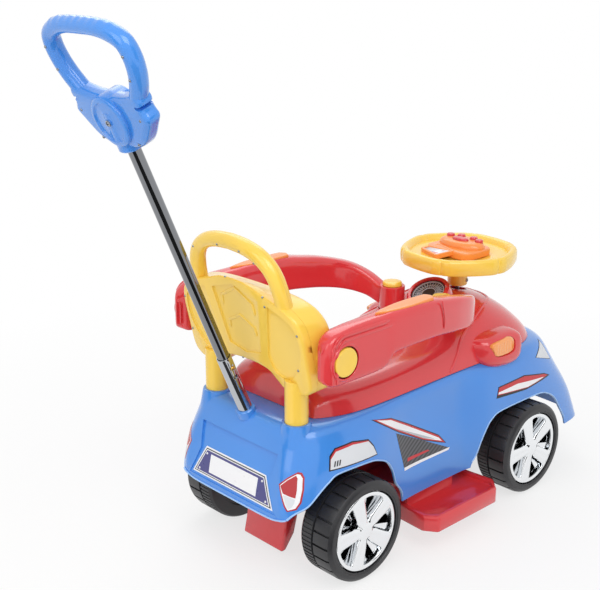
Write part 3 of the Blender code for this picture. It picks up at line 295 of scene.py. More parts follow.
def pick(obj, kind, test):
    """In edit mode, selects only the faces, edges or vertices that pass a test."""
    mesh = bmesh.from_edit_mesh(obj.data)
    for elements in (mesh.verts, mesh.edges, mesh.faces):
        for element in elements:
            element.select = False
    chosen = [element for element in getattr(mesh, kind) if test(element)]
    for element in chosen:
        element.select_set(True)
    bmesh.update_edit_mesh(obj.data)
    return len(chosen)


def close_up(obj):
    """Merges doubles and turns the faces outwards."""
    edit(obj)
    bpy.ops.mesh.remove_doubles(threshold=DOUBLES)
    bpy.ops.mesh.dissolve_degenerate(threshold=DOUBLES)
    bpy.ops.mesh.select_all(action="SELECT")
    bpy.ops.mesh.normals_make_consistent(inside=False)
    leave()
    return obj


def settle(obj, matrix=Matrix.Identity(4)):
    """Puts a piece's place into its mesh. A mirrored place turns the faces back outwards."""
    whole = matrix @ obj.matrix_world
    obj.data.transform(whole)
    if whole.determinant() < 0:
        obj.data.flip_normals()
    obj.matrix_world = Matrix.Identity(4)
    return obj


def duplicate(obj):
    """A copy with a mesh of its own."""
    copy = obj.copy()
    copy.data = obj.data.copy()
    bpy.context.scene.collection.objects.link(copy)
    return copy


def apply(obj, kind, **settings):
    """Runs one modifier on a piece at once."""
    modifier = obj.modifiers.new(kind, kind)
    for key, value in settings.items():
        setattr(modifier, key, value)
    only(obj)
    bpy.ops.object.modifier_apply(modifier=modifier.name)
    return obj


def soften(obj, levels):
    return apply(obj, "SUBSURF", levels=levels, render_levels=levels)


def mirror_half(obj):
    """Adds the left half to a right one and turns the faces outwards."""
    apply(obj, "MIRROR", use_clip=True, merge_threshold=0.0001)
    edit(obj, "EDGE")
    bpy.ops.mesh.normals_make_consistent(inside=False)
    leave()


def carve(obj, tool, operation="DIFFERENCE"):
    """Cuts a tool's shape away and removes the tool."""
    apply(obj, "BOOLEAN", operation=operation, solver="EXACT", object=tool)
    bpy.data.objects.remove(tool)
    return obj


def weld(obj, tool):
    return carve(obj, tool, "UNION")


def skin(rows, ring=True, caps=True, wrap=False):
    """A grid laid over rows of points. A ring closes each row, wrap joins last row to first."""
    if wrap:
        rows = rows + [rows[0]]
    across = len(rows[0])
    columns = across + 1 if ring else across
    bpy.ops.mesh.primitive_grid_add(x_subdivisions=columns - 1, y_subdivisions=len(rows) - 1,
                                    size=1)
    obj = bpy.context.object
    for i, vertex in enumerate(obj.data.vertices):
        row, column = divmod(i, columns)
        vertex.co = rows[row][column % across]
    edit(obj, "EDGE")
    bpy.ops.mesh.remove_doubles(threshold=DOUBLES)
    if ring and caps and not wrap:
        bpy.ops.mesh.select_all(action="DESELECT")
        bpy.ops.mesh.select_non_manifold(extend=False)
        bpy.ops.mesh.fill_holes(sides=0)
    bpy.ops.mesh.select_all(action="SELECT")
    bpy.ops.mesh.normals_make_consistent(inside=False)
    leave()
    return obj


def spun(profile, matrix, steps=64):
    """A (radius, height) profile turned about local Z. Ends on the axis leave a closed pole."""
    bpy.ops.mesh.primitive_circle_add(vertices=len(profile), radius=0.01, fill_type="NOTHING")
    obj = bpy.context.object
    for vertex, (radius, height) in zip(obj.data.vertices, profile):
        vertex.co = (radius, 0, height)
    edit(obj, "EDGE")
    if pick(obj, "edges", lambda e: all(v.co.x < 1e-6 for v in e.verts)):
        bpy.ops.mesh.delete(type="EDGE")
    bpy.ops.mesh.select_all(action="SELECT")
    bpy.ops.mesh.spin(steps=steps, angle=2 * pi, center=(0, 0, 0), axis=(0, 0, 1))
    leave()
    close_up(obj)
    return settle(obj, matrix)


def bar(radius, low, high, matrix, steps=48, edge=0.0):
    """A round bar, its ends chamfered by edge."""
    if edge:
        profile = [(0, low), (radius - edge, low), (radius, low + edge), (radius, high - edge),
                   (radius - edge, high), (0, high)]
    else:
        profile = [(0, low), (radius, low), (radius, high), (0, high)]
    return spun(profile, matrix, steps)


def block(low, high, edge=0.0, segments=2, matrix=Matrix.Identity(4)):
    """A box between two corners with rounded edges."""
    bpy.ops.mesh.primitive_cube_add(size=1, location=[(a + b) / 2 for a, b in zip(low, high)])
    obj = bpy.context.object
    obj.scale = [b - a for a, b in zip(low, high)]
    bpy.context.view_layer.update()
    settle(obj)
    if edge:
        apply(obj, "BEVEL", width=edge, segments=segments)
    return settle(obj, matrix)


def slab(outlines, low, high, matrix=Matrix.Identity(4), edge=0.0, steps=3):
    """A flat outline with its holes, given a thickness and rounded rims."""
    curve = bpy.data.curves.new("outline", "CURVE")
    curve.dimensions = "2D"
    curve.fill_mode = "BOTH"
    curve.extrude = (high - low) / 2 - edge
    curve.bevel_depth = edge
    curve.bevel_resolution = steps
    curve.offset = -edge
    for outline in outlines:
        spline = curve.splines.new("POLY")
        spline.points.add(len(outline) - 1)
        for point, (x, y) in zip(spline.points, outline):
            point.co = (x, y, 0, 1)
        spline.use_cyclic_u = True
    obj = bpy.data.objects.new("slab", curve)
    bpy.context.scene.collection.objects.link(obj)
    only(obj)
    bpy.ops.object.convert(target="MESH")
    obj = bpy.context.object
    close_up(obj)
    return settle(obj, matrix @ Matrix.Translation((0, 0, (low + high) / 2)))


def flowing(points, steps=4, closed=False, sharp=()):
    """Runs a smooth line through points. Corners whose index is in sharp stay sharp."""
    count = len(points)
    result = []
    last = count if closed else count - 1
    for i in range(last):
        p1, p2 = points[i], points[(i + 1) % count]
        p0 = points[i - 1] if (i or closed) and i not in sharp else p1
        after = (i + 2) % count if closed else min(i + 2, count - 1)
        p3 = points[after] if (i + 1) % count not in sharp else p2
        for k in range(steps):
            t = k / steps
            result.append(tuple(
                0.5 * (2 * b + (c - a) * t + (2 * a - 5 * b + 4 * c - d) * t * t
                       + (3 * b - a - 3 * c + d) * t ** 3)
                for a, b, c, d in zip(p0, p1, p2, p3)))
    if not closed:
        result.append(tuple(points[-1]))
    return result


def turns(count, start=0):
    """Angles that share out a full turn."""
    return [2 * pi * (k + start) / count for k in range(count)]


def mixed(one, two, share):
    """The point at a share of the way from one to the other."""
    return tuple(a + (b - a) * share for a, b in zip(one, two))


def mirrored(half):
    """Closes a half outline that starts and ends on the middle line."""
    return list(half) + [(-x, y) for x, y in reversed(half) if x > 0.00001]


def run_at(path, i):
    """The direction of a line of points at one of them."""
    return (Vector(path[min(i + 1, len(path) - 1)]) - Vector(path[max(i - 1, 0)])).normalized()


def swept(path, reach, rise, up, count=10):
    """An oval bead along a path of points; up gives the direction of its rise."""
    rows = []
    for i, point in enumerate(path):
        here = Vector(point)
        run = run_at(path, i)
        high = (Vector(up) - run * run.dot(Vector(up))).normalized()
        across = run.cross(high)
        size = 1.0 if 0 < i < len(path) - 1 else 0.4
        rows.append([here + size * (across * reach * cos(turn) + high * rise * sin(turn))
                     for turn in turns(count)])
    return skin(rows)


def piece(obj, name, body, material, nodes=(), smooth=35):
    """Finishes a modelled piece: its name, shading, material, ride and the nodes it stands for."""
    obj.name = name
    obj.data.name = name
    obj.data.materials.clear()
    obj.data.materials.append(material)
    only(obj)
    bpy.ops.object.shade_smooth_by_angle(angle=radians(smooth))
    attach(obj, body)
    if nodes:
        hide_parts(*nodes)
    return obj


def stands_for(obj, node, material, smooth=35):
    """Finishes a piece that takes the place of one solid."""
    return piece(obj, node + "_shell", BODY_OF[node], material, (node,), smooth)


def refined(node, material, edge):
    """A merged copy of a solid with its flats dissolved and its edges rounded."""
    obj = duplicate(frame["nodes"][node])
    for key in list(obj.keys()):
        del obj[key]
    obj.parent = None
    edit(obj)
    bpy.ops.mesh.remove_doubles(threshold=0.00001)
    bpy.ops.mesh.select_all(action="SELECT")
    bpy.ops.mesh.dissolve_limited(angle_limit=radians(1))
    leave()
    apply(obj, "BEVEL", width=edge, segments=2, limit_method="ANGLE", angle_limit=radians(35))
    return stands_for(obj, node, material)


# Blue body ------------------------------------------------------------------------------------

# Half outlines of the shell as (height, (x, ahead) from the rear's middle to the nose's)
BODY_RINGS = (
    (.085, ((0, -.128), (.060, -.128), (.120, -.126), (.150, -.098), (.156, -.030),
            (.155, .050), (.143, .125), (.143, .265), (.152, .325), (.155, .450),
            (.152, .600), (.130, .624), (.060, .632), (0, .634))),
    (.150, ((0, -.130), (.060, -.130), (.117, -.127), (.149, -.096), (.157, -.030),
            (.156, .050), (.141, .125), (.141, .265), (.153, .325), (.156, .450),
            (.149, .566), (.125, .600), (.060, .617), (0, .621))),
    (.190, ((0, -.122), (.060, -.122), (.112, -.119), (.143, -.093), (.156, -.030),
            (.156, .050), (.134, .125), (.132, .265), (.151, .318), (.154, .440),
            (.144, .535), (.119, .572), (.060, .594), (0, .599))),
    (.235, ((0, -.104), (.055, -.104), (.101, -.102), (.131, -.082), (.148, -.030),
            (.150, .050), (.131, .125), (.130, .265), (.146, .318), (.146, .430),
            (.135, .502), (.113, .542), (.060, .568), (0, .573))),
    (DECK_Z, ((0, -.097), (.050, -.097), (.093, -.096), (.119, -.077), (.134, -.028),
              (.139, .050), (.134, .125), (.133, .265), (.136, .325), (.136, .430),
              (.127, .487), (.109, .524), (.058, .550), (0, .555))),
    (DECK_Z, ((0, -.070), (.042, -.070), (.080, -.068), (.100, -.050), (.112, -.015),
              (.115, .055), (.112, .125), (.112, .265), (.112, .325), (.112, .420),
              (.106, .460), (.090, .490), (.048, .515), (0, .520))),
    (DECK_Z, ((0, -.030), (.025, -.030), (.050, -.028), (.065, -.020), (.070, .000),
              (.072, .055), (.070, .125), (.070, .265), (.070, .325), (.070, .400),
              (.066, .430), (.056, .450), (.030, .465), (0, .470))),
)
# Wheel arches as (ahead of the axle, height)
REAR_ARCH = ((.112, .060), (.108, .100), (.090, .125), (.081, .149), (.069, .167),
             (.050, .179), (.020, .187), (-.040, .188), (-.060, .179), (-.077, .166),
             (-.095, .149), (-.110, .1405), (-.1165, .1345), (-.1212, .1275))
FRONT_ARCH = ((-.150, .060), (-.142, .090), (-.131, .105), (-.120, .130), (-.110, .149),
              (-.098, .163), (-.070, .172), (.030, .172), (.066, .163), (.088, .149),
              (.106, .125), (.126, .095), (.132, .060))
# Seat and bonnet as (ahead, half width at the seam, rises at the section shares)
SECTION_SHARES = (0.93, 0.76, 0.42, 0.0)
SEAT_STATIONS = (
    (-.046, .098, (0, 0, 0, 0)),
    (-.040, .103, (.020, .030, .042, .049)),
    (-.014, .117, (.027, .040, .053, .059)),
    (.020, .126, (.027, .037, .041, .041)),
    (.080, .129, (.026, .037, .034, .031)),
    (.160, .127, (.027, .039, .035, .032)),
    (.230, .126, (.029, .041, .041, .040)),
    (.262, .126, (.032, .044, .048, .049)),
    (.292, .126, (.036, .050, .054, .071)),
    (.325, .127, (.040, .056, .062, .089)),
    (.362, .127, (.042, .068, .088, .093)),
    (.410, .125, (.038, .064, .086, .091)),
    (.455, .118, (.028, .050, .070, .076)),
    (.492, .104, (.016, .030, .044, .049)),
    (.518, .080, (.006, .012, .018, .022)),
    (.530, .055, (0, 0, 0, 0)),
)
# The sunk field round the plate as (height, half width, how far ahead its floor is)
PLATE_FIELD = ((.1310, .1020, -.1262), (.1550, .0905, -.1220), (.1780, .0815, -.1167),
               (.2000, .0850, -.1105), (.2200, .0885, -.1030))
# How sharp the upright edges by the footsteps are, by their distance ahead
CREASES = {.125: 0.25, .265: 0.75, .325: 0.45}
# How far ahead the bumper's rolled lip ends beside the rear wheels
BUMPER_END = -.1205
# Half width and half height of the rolled lips, which are coloured pale blue as a painted
# highlight
LIP = (.0014, .0017)


def body_cage():
    """The half cage of the shell, with a sunk panel for the plate between the rear corners."""
    rows = []
    for level, (height, outline) in enumerate(BODY_RINGS):
        row = [(x, y, REAR_EDGE[i] if level == 0 and i < 4 else height)
               for i, (x, y) in enumerate(outline)]
        # two more columns bound the plate's panel, which widens towards the bumper
        edge = (.100, .096, .088, .078, .066, .055, .034)[level]
        inner = (edge, row[1][1] + 0.0005, row[1][2])
        outer = (edge + (row[2][0] - edge) * .45, row[2][1], row[2][2])
        rows.append(row[:1] + [(edge * .55, row[1][1], row[1][2]), inner, outer] + row[2:])
    rows.insert(1, [mixed(a, b, .42) for a, b in zip(rows[0], rows[1])])
    rows.insert(4, [mixed(a, b, .35) for a, b in zip(rows[3], rows[4])])
    for level, sink in ((2, .0045), (3, .0045), (4, .0040)):
        for column in range(3):
            x, y, z = rows[level][column]
            rows[level][column] = (x, y + sink, z)
    return [[(x, ahead(y), z) for x, y, z in row] for row in rows]


def plate_recess(outer, inner, grow=0.0):
    """A wedge behind the sunk field round the plate, between two distances from its floor."""
    rows = []
    for i, (z, half, floor) in enumerate(PLATE_FIELD):
        level = z + (grow if i == len(PLATE_FIELD) - 1 else 0) - (grow if i == 0 else 0)
        rows.append([(-half - grow, ahead(floor + inner), level),
                     (half + grow, ahead(floor + inner), level),
                     (half + grow, ahead(floor + outer), level),
                     (-half - grow, ahead(floor + outer), level)])
    return skin(rows)


def blue_body():
    """The shell with its arches, post sockets and openings, and the line of its foot."""
    shell = skin(body_cage(), ring=False, caps=False)
    mirror_half(shell)
    edit(shell, "EDGE")
    for level, crease in CREASES.items():
        pick(shell, "edges", lambda e: abs(e.verts[0].co.x) > .1 and abs(e.verts[1].co.x) > .1
             and max(e.verts[0].co.z, e.verts[1].co.z) < DECK_Z + .001
             and all(abs(REAR_AXLE_Y - v.co.y - level) < .012 for v in e.verts)
             and abs(e.verts[0].co.z - e.verts[1].co.z) > .01)
        bpy.ops.transform.edge_crease(value=crease)
    leave()
    soften(shell, 3)
    edges = Counter(key for face in shell.data.polygons for key in face.edge_keys)
    rim = {v for key, uses in edges.items() if uses == 1 for v in key}
    foot = [tuple(shell.data.vertices[v].co) for v in rim if shell.data.vertices[v].co.z < .16]
    apply(shell, "SOLIDIFY", thickness=WALL, offset=-1)
    weld(shell, plate_recess(-.0012, .0032, .0035))
    carve(shell, plate_recess(-.0600, 0))
    for side in (RIGHT, LEFT):
        for arch, axle in ((REAR_ARCH, 0), (FRONT_ARCH, WHEELBASE)):
            outline = flowing(arch, 4) + [(arch[-1][0], .04), (arch[0][0], .04)]
            carve(shell, slab([outline], 0.07, 0.2, side_frame(side, axle)))
        socket = back_post(side)
        weld(shell, spun([(0, .190), (.034, .190), (.0300, .225), (.0250, .252), (.0232, .2620),
                          (.0222, .2645), (.0205, .2650), (0, .2650)], socket, 56))
        carve(shell, bar(POST_HOLE, DECK_Z - 0.030, DECK_Z + 0.1, socket))
    opening = flowing([(x - 0.026, ahead(y)) for y, x, _ in SEAT_STATIONS[3:13]], 3)
    carve(shell, slab([mirrored(opening)], DECK_Z - 0.02, DECK_Z + 0.02))
    weld(shell, bar(.0155, -0.012, 0.004, POLE, 40, 0.0015))
    carve(shell, bar(.0115, -0.08, 0.08, POLE, 40))
    return stands_for(shell, "lower_body", BLUE_PP, 28), foot


def surface_of(obj):
    """A tree to find where a line meets a finished piece."""
    return BVHTree.FromObject(obj, bpy.context.evaluated_depsgraph_get())


def side_x(tree, y, z, side):
    """X of the shell where a level line from beside the car meets it."""
    hit = tree.ray_cast(Vector((side * .3, y, z)), Vector((-side, 0, 0)))[0]
    return hit.x if hit else None


def arch_lip(tree, side, arch, axle, name):
    """The rolled bead round a wheel arch, laid on the shell a little off its edge, pale blue as a
    painted highlight.
    """
    line = [p for p in flowing(arch, 5) if p[1] > .09]
    path = []
    for i, (y, z) in enumerate(line):
        run = run_at(line, i)
        away = Vector((-run.y, run.x)) if arch is FRONT_ARCH else Vector((run.y, -run.x))
        spot = Vector((y, z)) + away * .0013
        x = side_x(tree, ahead(axle + spot.x), spot.y, side)
        if x is not None and abs(x) > .1:
            path.append((x - side * .0004, ahead(axle + spot.x), spot.y))
    return piece(swept(path, *LIP, (side, 0, 0)), name, "car_body", BLUE_LIP_HIGHLIGHT)


def bumper_lip(foot):
    """The rolled lip under the rear bumper, along the shell's own foot, pale blue as a painted
    highlight.
    """
    rear = sorted((p for p in foot if p[1] > ahead(BUMPER_END)),
                  key=lambda p: atan2(p[0], p[1] - .1))
    path = [(x * 1.002, y + .0009, z + .0012) for x, y, z in rear]
    middle = [mixed(path[max(i - 1, 0)], path[min(i + 1, len(path) - 1)], .5)
              for i in range(len(path))]
    return piece(swept(middle, *LIP, (0, 1, 0)), "bumper_lip", "car_body", BLUE_LIP_HIGHLIGHT)


# Red seat and bonnet --------------------------------------------------------------------------

GAUGE = at((0, ahead(.334), .350), (-radians(28), 0, 0))
# The lamp lens as (ahead, height)
LENS = ((.3300, .2960), (.3600, .3008), (.3780, .3010), (.3880, .2920), (.3840, .2730),
        (.3450, .2725), (.3345, .2830))
# The raised housing round a lamp as (ahead, reach to the side, bottom, top)
LAMP_HOUSING = ((.312, .118, .270, .298), (.325, .140, .256, .304), (.350, .148, .246, .3085),
                (.390, .150, .243, .3085), (.410, .147, .250, .304), (.424, .128, .262, .292))
# The raised line on the bonnet as (reach to the side, ahead, height)
PIPING = ((-.0050, .4600, .3390), (.0446, .4385, .3361), (.0640, .4140, .3378),
          (.0764, .3840, .3364), (.0857, .3577, .3297), (.0916, .3368, .3214),
          (.0985, .3127, .3130), (.1102, .2844, .2998), (.1200, .2620, .2815),
          (.1249, .2442, .2663))


def lens_outline(grow=0.0):
    """The lens seen from the side, grown for the hole that it sits in."""
    middle = Vector((.361, .287))
    return [tuple(p + (p - middle).normalized() * grow)
            for p in map(Vector, flowing(LENS, 3, True))]


def cowl_piping(tree, name, side):
    """The raised line that sweeps from the column round the bonnet and down to the seam."""
    path = [tuple(tree.find_nearest(Vector((side * x, ahead(y), z)))[0])
            for x, y, z in flowing(PIPING, 6)]
    return piece(swept(path, .0032, .0022, (side * .5, 0, 1)), "cowl_piping_" + name, "car_body",
                 RED_PP)


def red_shell():
    """Seat and bonnet in one, with front posts, gauge hood and lamp housings."""
    rows = []
    for y, rim, rises in SEAT_STATIONS:
        rows.append([(rim, ahead(y), DECK_Z + PLAY)]
                    + [(rim * share, ahead(y), DECK_Z + PLAY + rise)
                       for share, rise in zip(SECTION_SHARES, rises)])
    shell = skin(rows, ring=False, caps=False)
    mirror_half(shell)
    soften(shell, 3)
    apply(shell, "SOLIDIFY", thickness=WALL, offset=-1)
    level = DECK_Z + PLAY + 0.0001
    carve(shell, block((-0.3, -0.6, level - 0.05), (0.3, 0.3, level)))
    posts = [front_post(side) for side in (RIGHT, LEFT)]
    for post in posts:
        weld(shell, bar(.027, .287, .3213, post, 48, .0012))
    weld(shell, spun([(0, -.030), (.040, -.030), (.0395, .006), (.0385, .0105), (.0365, .012),
                      (0, .012)], GAUGE, 56))
    for side in (RIGHT, LEFT):
        rows = []
        for y, reach, low, high in flowing(LAMP_HOUSING, 3):
            ring = []
            for turn in turns(28):
                c, s = cos(turn), sin(turn)
                out = (reach - .095) * abs(c) ** .45 if c > 0 else .004 * c
                rise = (high - low) / 2 * abs(s) ** .6 * (1 if s > 0 else -1)
                ring.append((side * (.095 + out), ahead(y), (low + high) / 2 + rise))
            rows.append(ring)
        weld(shell, skin(rows))
    for side in (RIGHT, LEFT):
        carve(shell, slab([lens_outline(PLAY)], .1275, .20, side_frame(side)))
    for post in posts:
        carve(shell, bar(.024, .3175, .40, post))
        carve(shell, bar(.0208, .290, .36, post))
    carve(shell, bar(.0313, 0, .05, GAUGE, 56))
    carve(shell, bar(.0170, DECK_Z, .45, at((0, ahead(STEER_AHEAD), 0))))
    return stands_for(shell, "upper_body", RED_PP, 30)


# Wheels ---------------------------------------------------------------------------------------

def wheel(name, side, axle_ahead):
    """A blow-moulded wheel: fine ribs on the inner band, coarse blocks on the outer one."""
    radius, width, groove = WHEEL_RADIUS, TYRE_WIDTH, 0.40 * TYRE_WIDTH
    profile = [(.0054, 0), (.020, 0), (.0215, .0015), (.058, .0015), (.060, 0), (.0725, 0),
               (radius - .0035, .0018), (radius - .0004, .006), (radius, .010),
               (radius, groove), (radius - .003, groove + .001), (radius - .003, groove + .003),
               (radius, groove + .004), (radius, width - .010), (radius - .0012, width - .005),
               (radius - .006, width - .0005), (radius - .008, width), (.0700, width),
               (.0692, width - .0012), (.0667, width - .0012), (.0667, width - .012),
               (.0780, width - .018), (.0780, .004), (.013, .004), (.013, width - .022),
               (.0054, width - .022)]
    segments = 144
    tyre = spun(profile, Matrix.Identity(4), segments)
    pitch = 2 * pi / segments

    def sector(face):
        centre = face.calc_center_median()
        return int(((Vector((centre.x, centre.y)).angle_signed(Vector((1, 0))) + 2 * pi)
                    % (2 * pi)) / pitch)

    def band(low, high, every):
        """Picks one sector in every so many of the tread between two heights."""
        def test(face):
            centre = face.calc_center_median()
            return (abs(hypot(centre.x, centre.y) - radius) < .0022 and low < centre.z < high
                    and sector(face) % every == 0)
        return test

    edit(tyre, "FACE")
    for tread, depth in ((band(.006, groove, 2), -.0011),
                         (band(groove + .0035, width - .002, 6), -.0030)):
        pick(tyre, "faces", tread)
        bpy.ops.mesh.extrude_region_shrink_fatten(
            TRANSFORM_OT_shrink_fatten={"value": depth})
    leave()
    settle(tyre, outward(side, TRACK_HALF - width, axle_ahead, radius))
    return stands_for(tyre, "wheel_" + name, BLACK_PE, 30)


SPOKES = 5
SECTOR = radians(72)


def half_spoke(reach):
    """Half the angle that a spoke takes up at a distance from the middle."""
    return (.0095 + .0050 * reach / .06) / max(reach, .012)


def window(face):
    """Whether a face lies between two spokes."""
    centre = face.calc_center_median()
    reach = hypot(centre.x, centre.y)
    turn = (Vector((centre.x, centre.y)).angle_signed(Vector((0, 1))) + 2 * pi) % SECTOR
    half = half_spoke(reach)
    return .0200 < reach < .0570 and half < turn < SECTOR - half


def spoke_rows():
    """Rings of points from the middle out: each spoke is crowned, the rest lies lower."""
    radii = (.0, .0095, .0125, .0150, .0190, .0280, .0400, .0520, .0575, .0590, .0635, .0655)
    heights = (.0030, .0028, .0018, .0000, -.0004, -.0002, .0004, .0012, .0014, .0022, .0022,
               .0004)
    lines = 12
    rows = []
    for radius, height in zip(radii, heights):
        row = []
        half = min(radians(29), half_spoke(radius))
        for spoke in range(SPOKES):
            for k in range(lines):
                if k <= 3:
                    turn = half * k / 3
                elif k <= 9:
                    turn = half + (SECTOR - 2 * half) * (k - 3) / 6
                else:
                    turn = SECTOR - half + half * (k - 9) / 3
                near = min(k, lines - k)
                crown = (.0006, .0020, .0014, 0)[min(near, 3)] if .014 < radius < .058 else 0
                drop = -.0022 if near > 3 and .017 < radius < .058 else 0
                angle = radians(90 + 72 * spoke) + turn
                row.append((radius * cos(angle), radius * sin(angle), height + crown + drop))
        rows.append(row)
    return rows


def hubcap(name, side, axle_ahead):
    """Five crowned spokes between a rim band and a hub boss, chrome-plated, over a dish."""
    place = outward(side, TRACK_HALF - .004, axle_ahead, WHEEL_RADIUS)
    cap = skin(spoke_rows(), caps=False)
    edit(cap, "FACE")
    pick(cap, "faces", window)
    bpy.ops.mesh.delete(type="FACE")
    leave()
    apply(cap, "SOLIDIFY", thickness=.0025, offset=-1)
    soften(cap, 2)
    settle(cap, place)
    dish = spun([(.0145, -.0105), (.0200, -.0100), (.0430, -.0088), (.0600, -.0070),
                 (.0630, -.0040), (.0642, -.0042), (.0612, -.0086), (.0430, -.0103),
                 (.0200, -.0115), (.0145, -.0120)], Matrix.Identity(4), 80)
    for spoke in range(SPOKES):
        turn = Matrix.Rotation(radians(126 + 72 * spoke), 4, "Z")
        carve(dish, slab([[(.0290, -.0030), (.0540, -.0085), (.0560, 0), (.0540, .0085),
                           (.0290, .0030)]], -.02, .01, turn))
    settle(dish, place)
    piece(dish, "hubcap_dish_" + name, "wheel_" + name, CHROME_ABS, (), 50)
    return stands_for(cap, "hubcap_" + name, CHROME_ABS, 50)


# Small hardware -------------------------------------------------------------------------------

def screw_head(radius=.0026, high=.0012):
    """A domed head with a cross recess, standing on its own plane."""
    head = spun([(0, -.0008), (radius, -.0008), (radius, high * .35), (radius * .7, high * .85),
                 (0, high)], Matrix.Identity(4), 20)
    slot = radius * .16
    for turn in (0, pi / 2):
        carve(head, block((-radius * .7, -slot, high * .25), (radius * .7, slot, high * 2), 0, 1,
                          Matrix.Rotation(turn, 4, "Z")))
    return head


def screws(spots, name, body, material=ZINC_STEEL, radius=.0026):
    """One head is modelled and each spot gets a copy with its own mesh."""
    first = screw_head(radius)
    for number, matrix in enumerate(spots, 1):
        piece(settle(duplicate(first), matrix), "%s_%d" % (name, number), body, material)
    bpy.data.objects.remove(first)


# Push handle ----------------------------------------------------------------------------------

POLE_END = POLE @ Matrix.Translation((0, 0, POLE_LENGTH))
HANDLE = at(along_pole(POLE_LENGTH), (pi / 2 + POLE_LEAN, 0, pi))
HANDLE_SCREWS = ((.0865, .140), (.0810, .108), (.066, .050), (.040, .012))
# Half outlines in the handle's own plane, from the pole's end upwards
LOOP_LINE = ((.050, .060), (.066, .080), (.0775, .098), (.0850, .118), (.0865, .138),
             (.0795, .155), (.057, .1655), (.030, .1695), (0, .1700))
HUB_HALF = ((0, .001), (.028, .003), (.050, .012), (.070, .034), (.0805, .049), (.0755, .062),
            (.078, .076), (.070, .086), (.052, .081), (.030, .077), (0, .076))
EAR_SLOT = ((.066, .066), (.072, .0640), (.082, .0668), (.100, .074), (.100, .080),
            (.082, .0720), (.072, .0690), (.066, .070))
# The sleeve's two holes, the spring knob sits in the upper one
SLEEVE_HOLES = (.086, .0693)


def handle_loop():
    """The hand loop: an oval tube with five shallow finger ridges over its top."""
    half = flowing(LOOP_LINE, 8)
    line = half + [(-x, y) for x, y in reversed(half[:-1])]
    rows = []
    for i, (x, y) in enumerate(line):
        run = run_at(line, i)
        away = Vector((run.y, -run.x))
        over = max(0.0, 1 - abs(x) / .062) if y > .15 else 0.0
        ridge = .0011 * (0.5 + 0.5 * cos(2 * pi * x / .0155)) if over > 0 else 0.0
        wide = .0118 - .0012 * min(1.0, over * 2)
        row = []
        for turn in turns(20):
            grip = wide + ridge * max(0.0, cos(turn))
            spot = Vector((x, y)) + away * grip * cos(turn)
            row.append((spot.x, spot.y, .0128 * sin(turn)))
        rows.append(row)
    return piece(settle(skin(rows), HANDLE), "handle_loop", "pole", BLUE_PP)


def handle_hub():
    """The clamp below the loop: two ears with slots, a round disc and a collar on the pole."""
    disc = HANDLE @ Matrix.Translation((0, .042, 0))
    hub = slab([mirrored(flowing(HUB_HALF, 4))], -.013, .013, HANDLE, .008, 4)
    weld(hub, bar(.019, -.004, .056, POLE_END, 48, .002))
    weld(hub, spun([(0, -.0175), (.027, -.0175), (.029, -.0195), (.0325, -.0195),
                    (.0352, -.0182), (.036, -.0165), (.036, .0165), (.0352, .0182),
                    (.0325, .0195), (.029, .0195), (.0270, .0172), (.006, .0178),
                    (.006, .0192), (0, .0192)], disc, 64))
    for side in (RIGHT, LEFT):
        slot = [(side * x, y) for x, y in flowing(EAR_SLOT, 3, True)]
        carve(hub, slab([slot], -.03, .03, HANDLE))
    carve(hub, bar(.0098, -.02, .045, POLE_END, 40))
    piece(hub, "handle_hub", "pole", BLUE_PP, ("handle_rear", "handle_front"), 40)
    screws([HANDLE @ Matrix.Translation((side * x, y, .0128)) for x, y in HANDLE_SCREWS
            for side in (RIGHT, LEFT)], "handle_small_screw", "pole", ZINC_STEEL, .0022)
    head = screw_head(.0045, .0022)
    settle(head, HANDLE @ Matrix.Translation((0, .042, .0198)))
    stands_for(head, "handle_screw", ZINC_STEEL)


def pole_and_sleeve():
    """The chromed pole in its sleeve with two holes, and the sprung knob in the upper one."""
    tube = spun([(.0095, .517), (.0095, .030), (.0083, .030), (.0083, .517)], POLE, 64)
    # The pole's darker chrome base colour is a painted dark reflection
    stands_for(tube, "push_pole", CHROME_POLE_DARK_REFLECTION)
    sleeve = spun([(.0108, .105), (.0112, .1044), (.0112, -.150), (.0099, -.150),
                   (.0099, .1044), (.0102, .105)], POLE, 64)
    for height in SLEEVE_HOLES:
        carve(sleeve, bar(.0038, 0, .03, at(along_pole(height), (0, -pi / 2, 0)), 32))
    stands_for(sleeve, "pole_sleeve", CHROME_TUBE)
    knob = spun([(0, .0140), (.0016, .0138), (.0028, .0131), (.0034, .0120), (.0035, .0113),
                 (.0035, .0108), (0, .0108)], at(along_pole(SLEEVE_HOLES[0]), (0, -pi / 2, 0)), 32)
    stands_for(knob, "pole_lock_button", BRASS)


# Backrest -------------------------------------------------------------------------------------

BACK = at((0, ahead(-.086), .333), (pi / 2 + BACK_LEAN, 0, pi))
BACK_OUT = BACK.to_3x3() @ Vector((0, 0, 1))
# Where the two halves meet, and the level of their foot
SEAM_REAR, SEAM_FRONT = -.0137, -.0140
BACK_FOOT = .316
# Half outlines of the rear face and the widest section, and the line of the hand arch
BACK_REAR = ((0, .149), (.030, .146), (.061, .135), (.095, .125), (.118, .113), (.130, .100),
             (.1355, .075), (.1355, .040), (.135, .005), (.130, -.010), (.117, -.020),
             (.100, -.024), (.078, -.0235), (.062, -.012), (.045, .002), (.020, .0065),
             (0, .007))
BACK_FRONT = ((0, .121), (.055, .120), (.0907, .1165), (.115, .1100), (.1280, .1020),
              (.138, .091), (.143, .078), (.144, .060), (.143, .020), (.139, -.010),
              (.125, -.022), (.105, -.027), (.080, -.026), (.064, -.014), (.046, .001),
              (.020, .0055), (0, .006))
BACK_ARCH = ((.096, .105), (.095, .125), (.0925, .145), (.0870, .1640), (.0760, .1800),
             (.0575, .1925), (.0320, .2000), (0, .2028))
